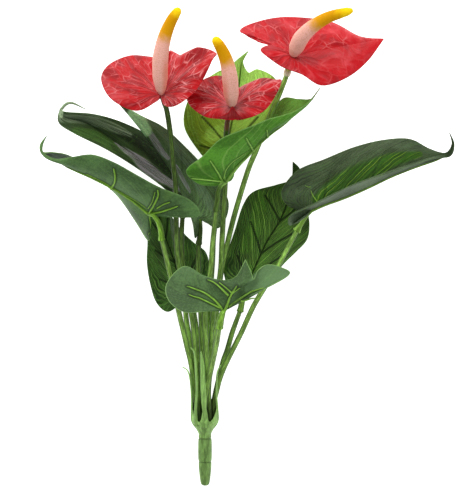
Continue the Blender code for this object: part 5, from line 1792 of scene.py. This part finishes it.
class SPRAY_OT_foot(bpy.types.Operator):
    """Build the moulded foot: jointed pick, cup with its windowed wall and dish, and the sheath ribs"""

    bl_idname = "spray.foot"
    bl_label = "Foot"

    def execute(self, context):
        settings = context.scene.spray_foot
        sides = settings.sides
        ends = place([FOOT_END, FOOT_RIM])
        shares, radii, inward = foot_rings()
        path = ends[0] + (ends[1] - ends[0]) * np.clip(shares, 0, 1.01)[:, None]
        tone = np.interp(shares, (0.70, 0.76), (0.88, 1.3))
        for joint in JOINTS:
            tone = tone * (1 - 0.4 * np.exp(-(((shares - joint) / 0.012) ** 2)))
        rim_radius = max(radius for _, radius in FOOT_PROFILE) * MM
        wall, inside = windowed_wall(ends, rim_radius, settings.wall, 2 * sides)
        parts = [turned(path, ends[1] - ends[0], radii * MM, sides), wall]
        # Painted shade: darker down into the dish, and dark on the inner face of the wall.
        gloom = [ring_marks(inward, sides), np.clip(2 * inside - 1, 0, 1)]
        tones = [ring_marks(tone, sides, caps=(1, 1)), np.where(inside == 0.5, 1.7, 1.35)]
        steps = np.linspace(0, 1, SHORT_RINGS)
        for rib in SHEATHS.values():
            widths, depths = along(np.column_stack([rib["width"], rib["depth"]]), steps).T * MM / 2
            parts.append(swept(along(place(rib["path"]), steps), rib["side"], widths, depths, SHEATH_SIDES))
            gloom.append(ring_marks(0 * steps, SHEATH_SIDES))
            tones.append(ring_marks(np.interp(steps, (0.2, 1), (1.15, 2.0)), SHEATH_SIDES, caps=(1.1, 2.0)))
        points, faces, grain = merged(parts)
        stains_and_shade = [("inside", tuple(settings.inside))]
        skin = moulded("foot_green", tuple(settings.colour), stains_and_shade, roughness=0.45, drawn=0.6)
        piece(
            "moulded_foot", points, faces, [skin], "foot", "foot_green", grain=grain,
            inside=np.concatenate(gloom), tone=np.concatenate(tones),
        )
        return {"FINISHED"}


def lamp(name, spot, size, power):
    """A soft square light at a place, turned to LAMP_AIM."""
    cleared(name)
    data = bpy.data.lights.new(name, "AREA")
    data.shape = "SQUARE"
    data.size = size
    data.energy = power
    light = bpy.data.objects.new(name, data)
    bpy.context.scene.collection.objects.link(light)
    light.location = spot
    direction = unit(np.array(spot) - np.array(LAMP_AIM))
    light.rotation_euler = (math.acos(direction[2]), 0, math.atan2(direction[0], -direction[1]))


class SPRAY_OT_stage(bpy.types.Operator):
    """Lay the floor, hang the lights and set the camera straight over the spray"""

    bl_idname = "spray.stage"
    bl_label = "Stage"

    def execute(self, context):
        scene = context.scene
        settings = scene.spray_stage
        cleared("floor")
        mesh = bpy.data.meshes.new("floor")
        half = FLOOR_HALF_SIDE
        corners = [(-half, -half, 0), (half, -half, 0), (half, half, 0), (-half, half, 0)]
        mesh.from_pydata(corners, [], [(0, 1, 2, 3)])
        mesh.materials.append(stage_floor(tuple(settings.floor), settings.floor_glow))
        floor = bpy.data.objects.new("floor", mesh)
        scene.collection.objects.link(floor)
        floor.location = (0, 0, -FLOOR_DROP)
        for name, (spot, size, power) in LAMPS.items():
            lamp(name, spot, size, power * settings.light)
        world = bpy.data.worlds.new("studio")
        world.use_nodes = True
        background = world.node_tree.nodes["Background"]
        background.inputs["Color"].default_value = (1, 1, 1, 1)
        background.inputs["Strength"].default_value = settings.daylight
        scene.world = world
        cleared("camera")
        data = bpy.data.cameras.new("camera")
        data.sensor_width = SENSOR_WIDTH
        data.lens = settings.lens
        # The sensor's width covers the picture's longer side, which is its height.
        distance = PHOTO_HEIGHT_PX * PIXEL / 2 / (data.sensor_width / 2 / data.lens)
        data.clip_start = 0.1
        data.clip_end = distance * 3
        camera = bpy.data.objects.new("camera", data)
        scene.collection.objects.link(camera)
        x, y, z = place([PHOTO_MIDDLE])[0]
        camera.location = (x, y, z + distance)
        scene.camera = camera
        scene.view_settings.view_transform = "Standard"
        return {"FINISHED"}


class SPRAY_PT_sidebar(bpy.types.Panel):
    """The spray's sizes and colours, and a button for each group of pieces"""

    bl_idname = "SPRAY_PT_sidebar"
    bl_label = "Anthurium spray"
    bl_space_type = "VIEW_3D"
    bl_region_type = "UI"
    bl_category = "Spray"

    def draw(self, context):
        for group, (kind, operators) in GROUPS.items():
            box = self.layout.box()
            for label in kind.__annotations__:
                box.prop(getattr(context.scene, group), label)
            for operator in operators:
                box.operator(operator)


# Each group of settings, its kind, and the operators that it serves.
GROUPS = {
    "spray_blades": (BladeSettings, ("spray.blades",)),
    "spray_ribs": (RibSettings, ("spray.ribs",)),
    "spray_stalks": (StalkSettings, ("spray.stalks",)),
    "spray_blooms": (BloomSettings, ("spray.spathes", "spray.spadices")),
    "spray_foot": (FootSettings, ("spray.foot",)),
    "spray_stage": (StageSettings, ("spray.stage",)),
}
CLASSES = (
    *(kind for kind, _ in GROUPS.values()), SPRAY_OT_blades, SPRAY_OT_ribs, SPRAY_OT_stalks, SPRAY_OT_spathes,
    SPRAY_OT_spadices, SPRAY_OT_foot, SPRAY_OT_stage, SPRAY_PT_sidebar,
)


def register():
    """Adds the classes, and puts each group of settings on the scene."""
    for kind in CLASSES:
        bpy.utils.register_class(kind)
    for name, (kind, _) in GROUPS.items():
        setattr(bpy.types.Scene, name, PointerProperty(type=kind))


def unregister():
    """Takes the groups of settings off the scene, and the classes away."""
    for name in GROUPS:
        delattr(bpy.types.Scene, name)
    for kind in reversed(CLASSES):
        bpy.utils.unregister_class(kind)


def main():
    """Builds every piece and the stage."""
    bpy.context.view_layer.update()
    register()
    bpy.ops.spray.blades()
    bpy.ops.spray.ribs()
    bpy.ops.spray.stalks()
    bpy.ops.spray.spathes()
    bpy.ops.spray.spadices()
    bpy.ops.spray.foot()
    bpy.ops.spray.stage()


if __name__ == "__main__":
    main()
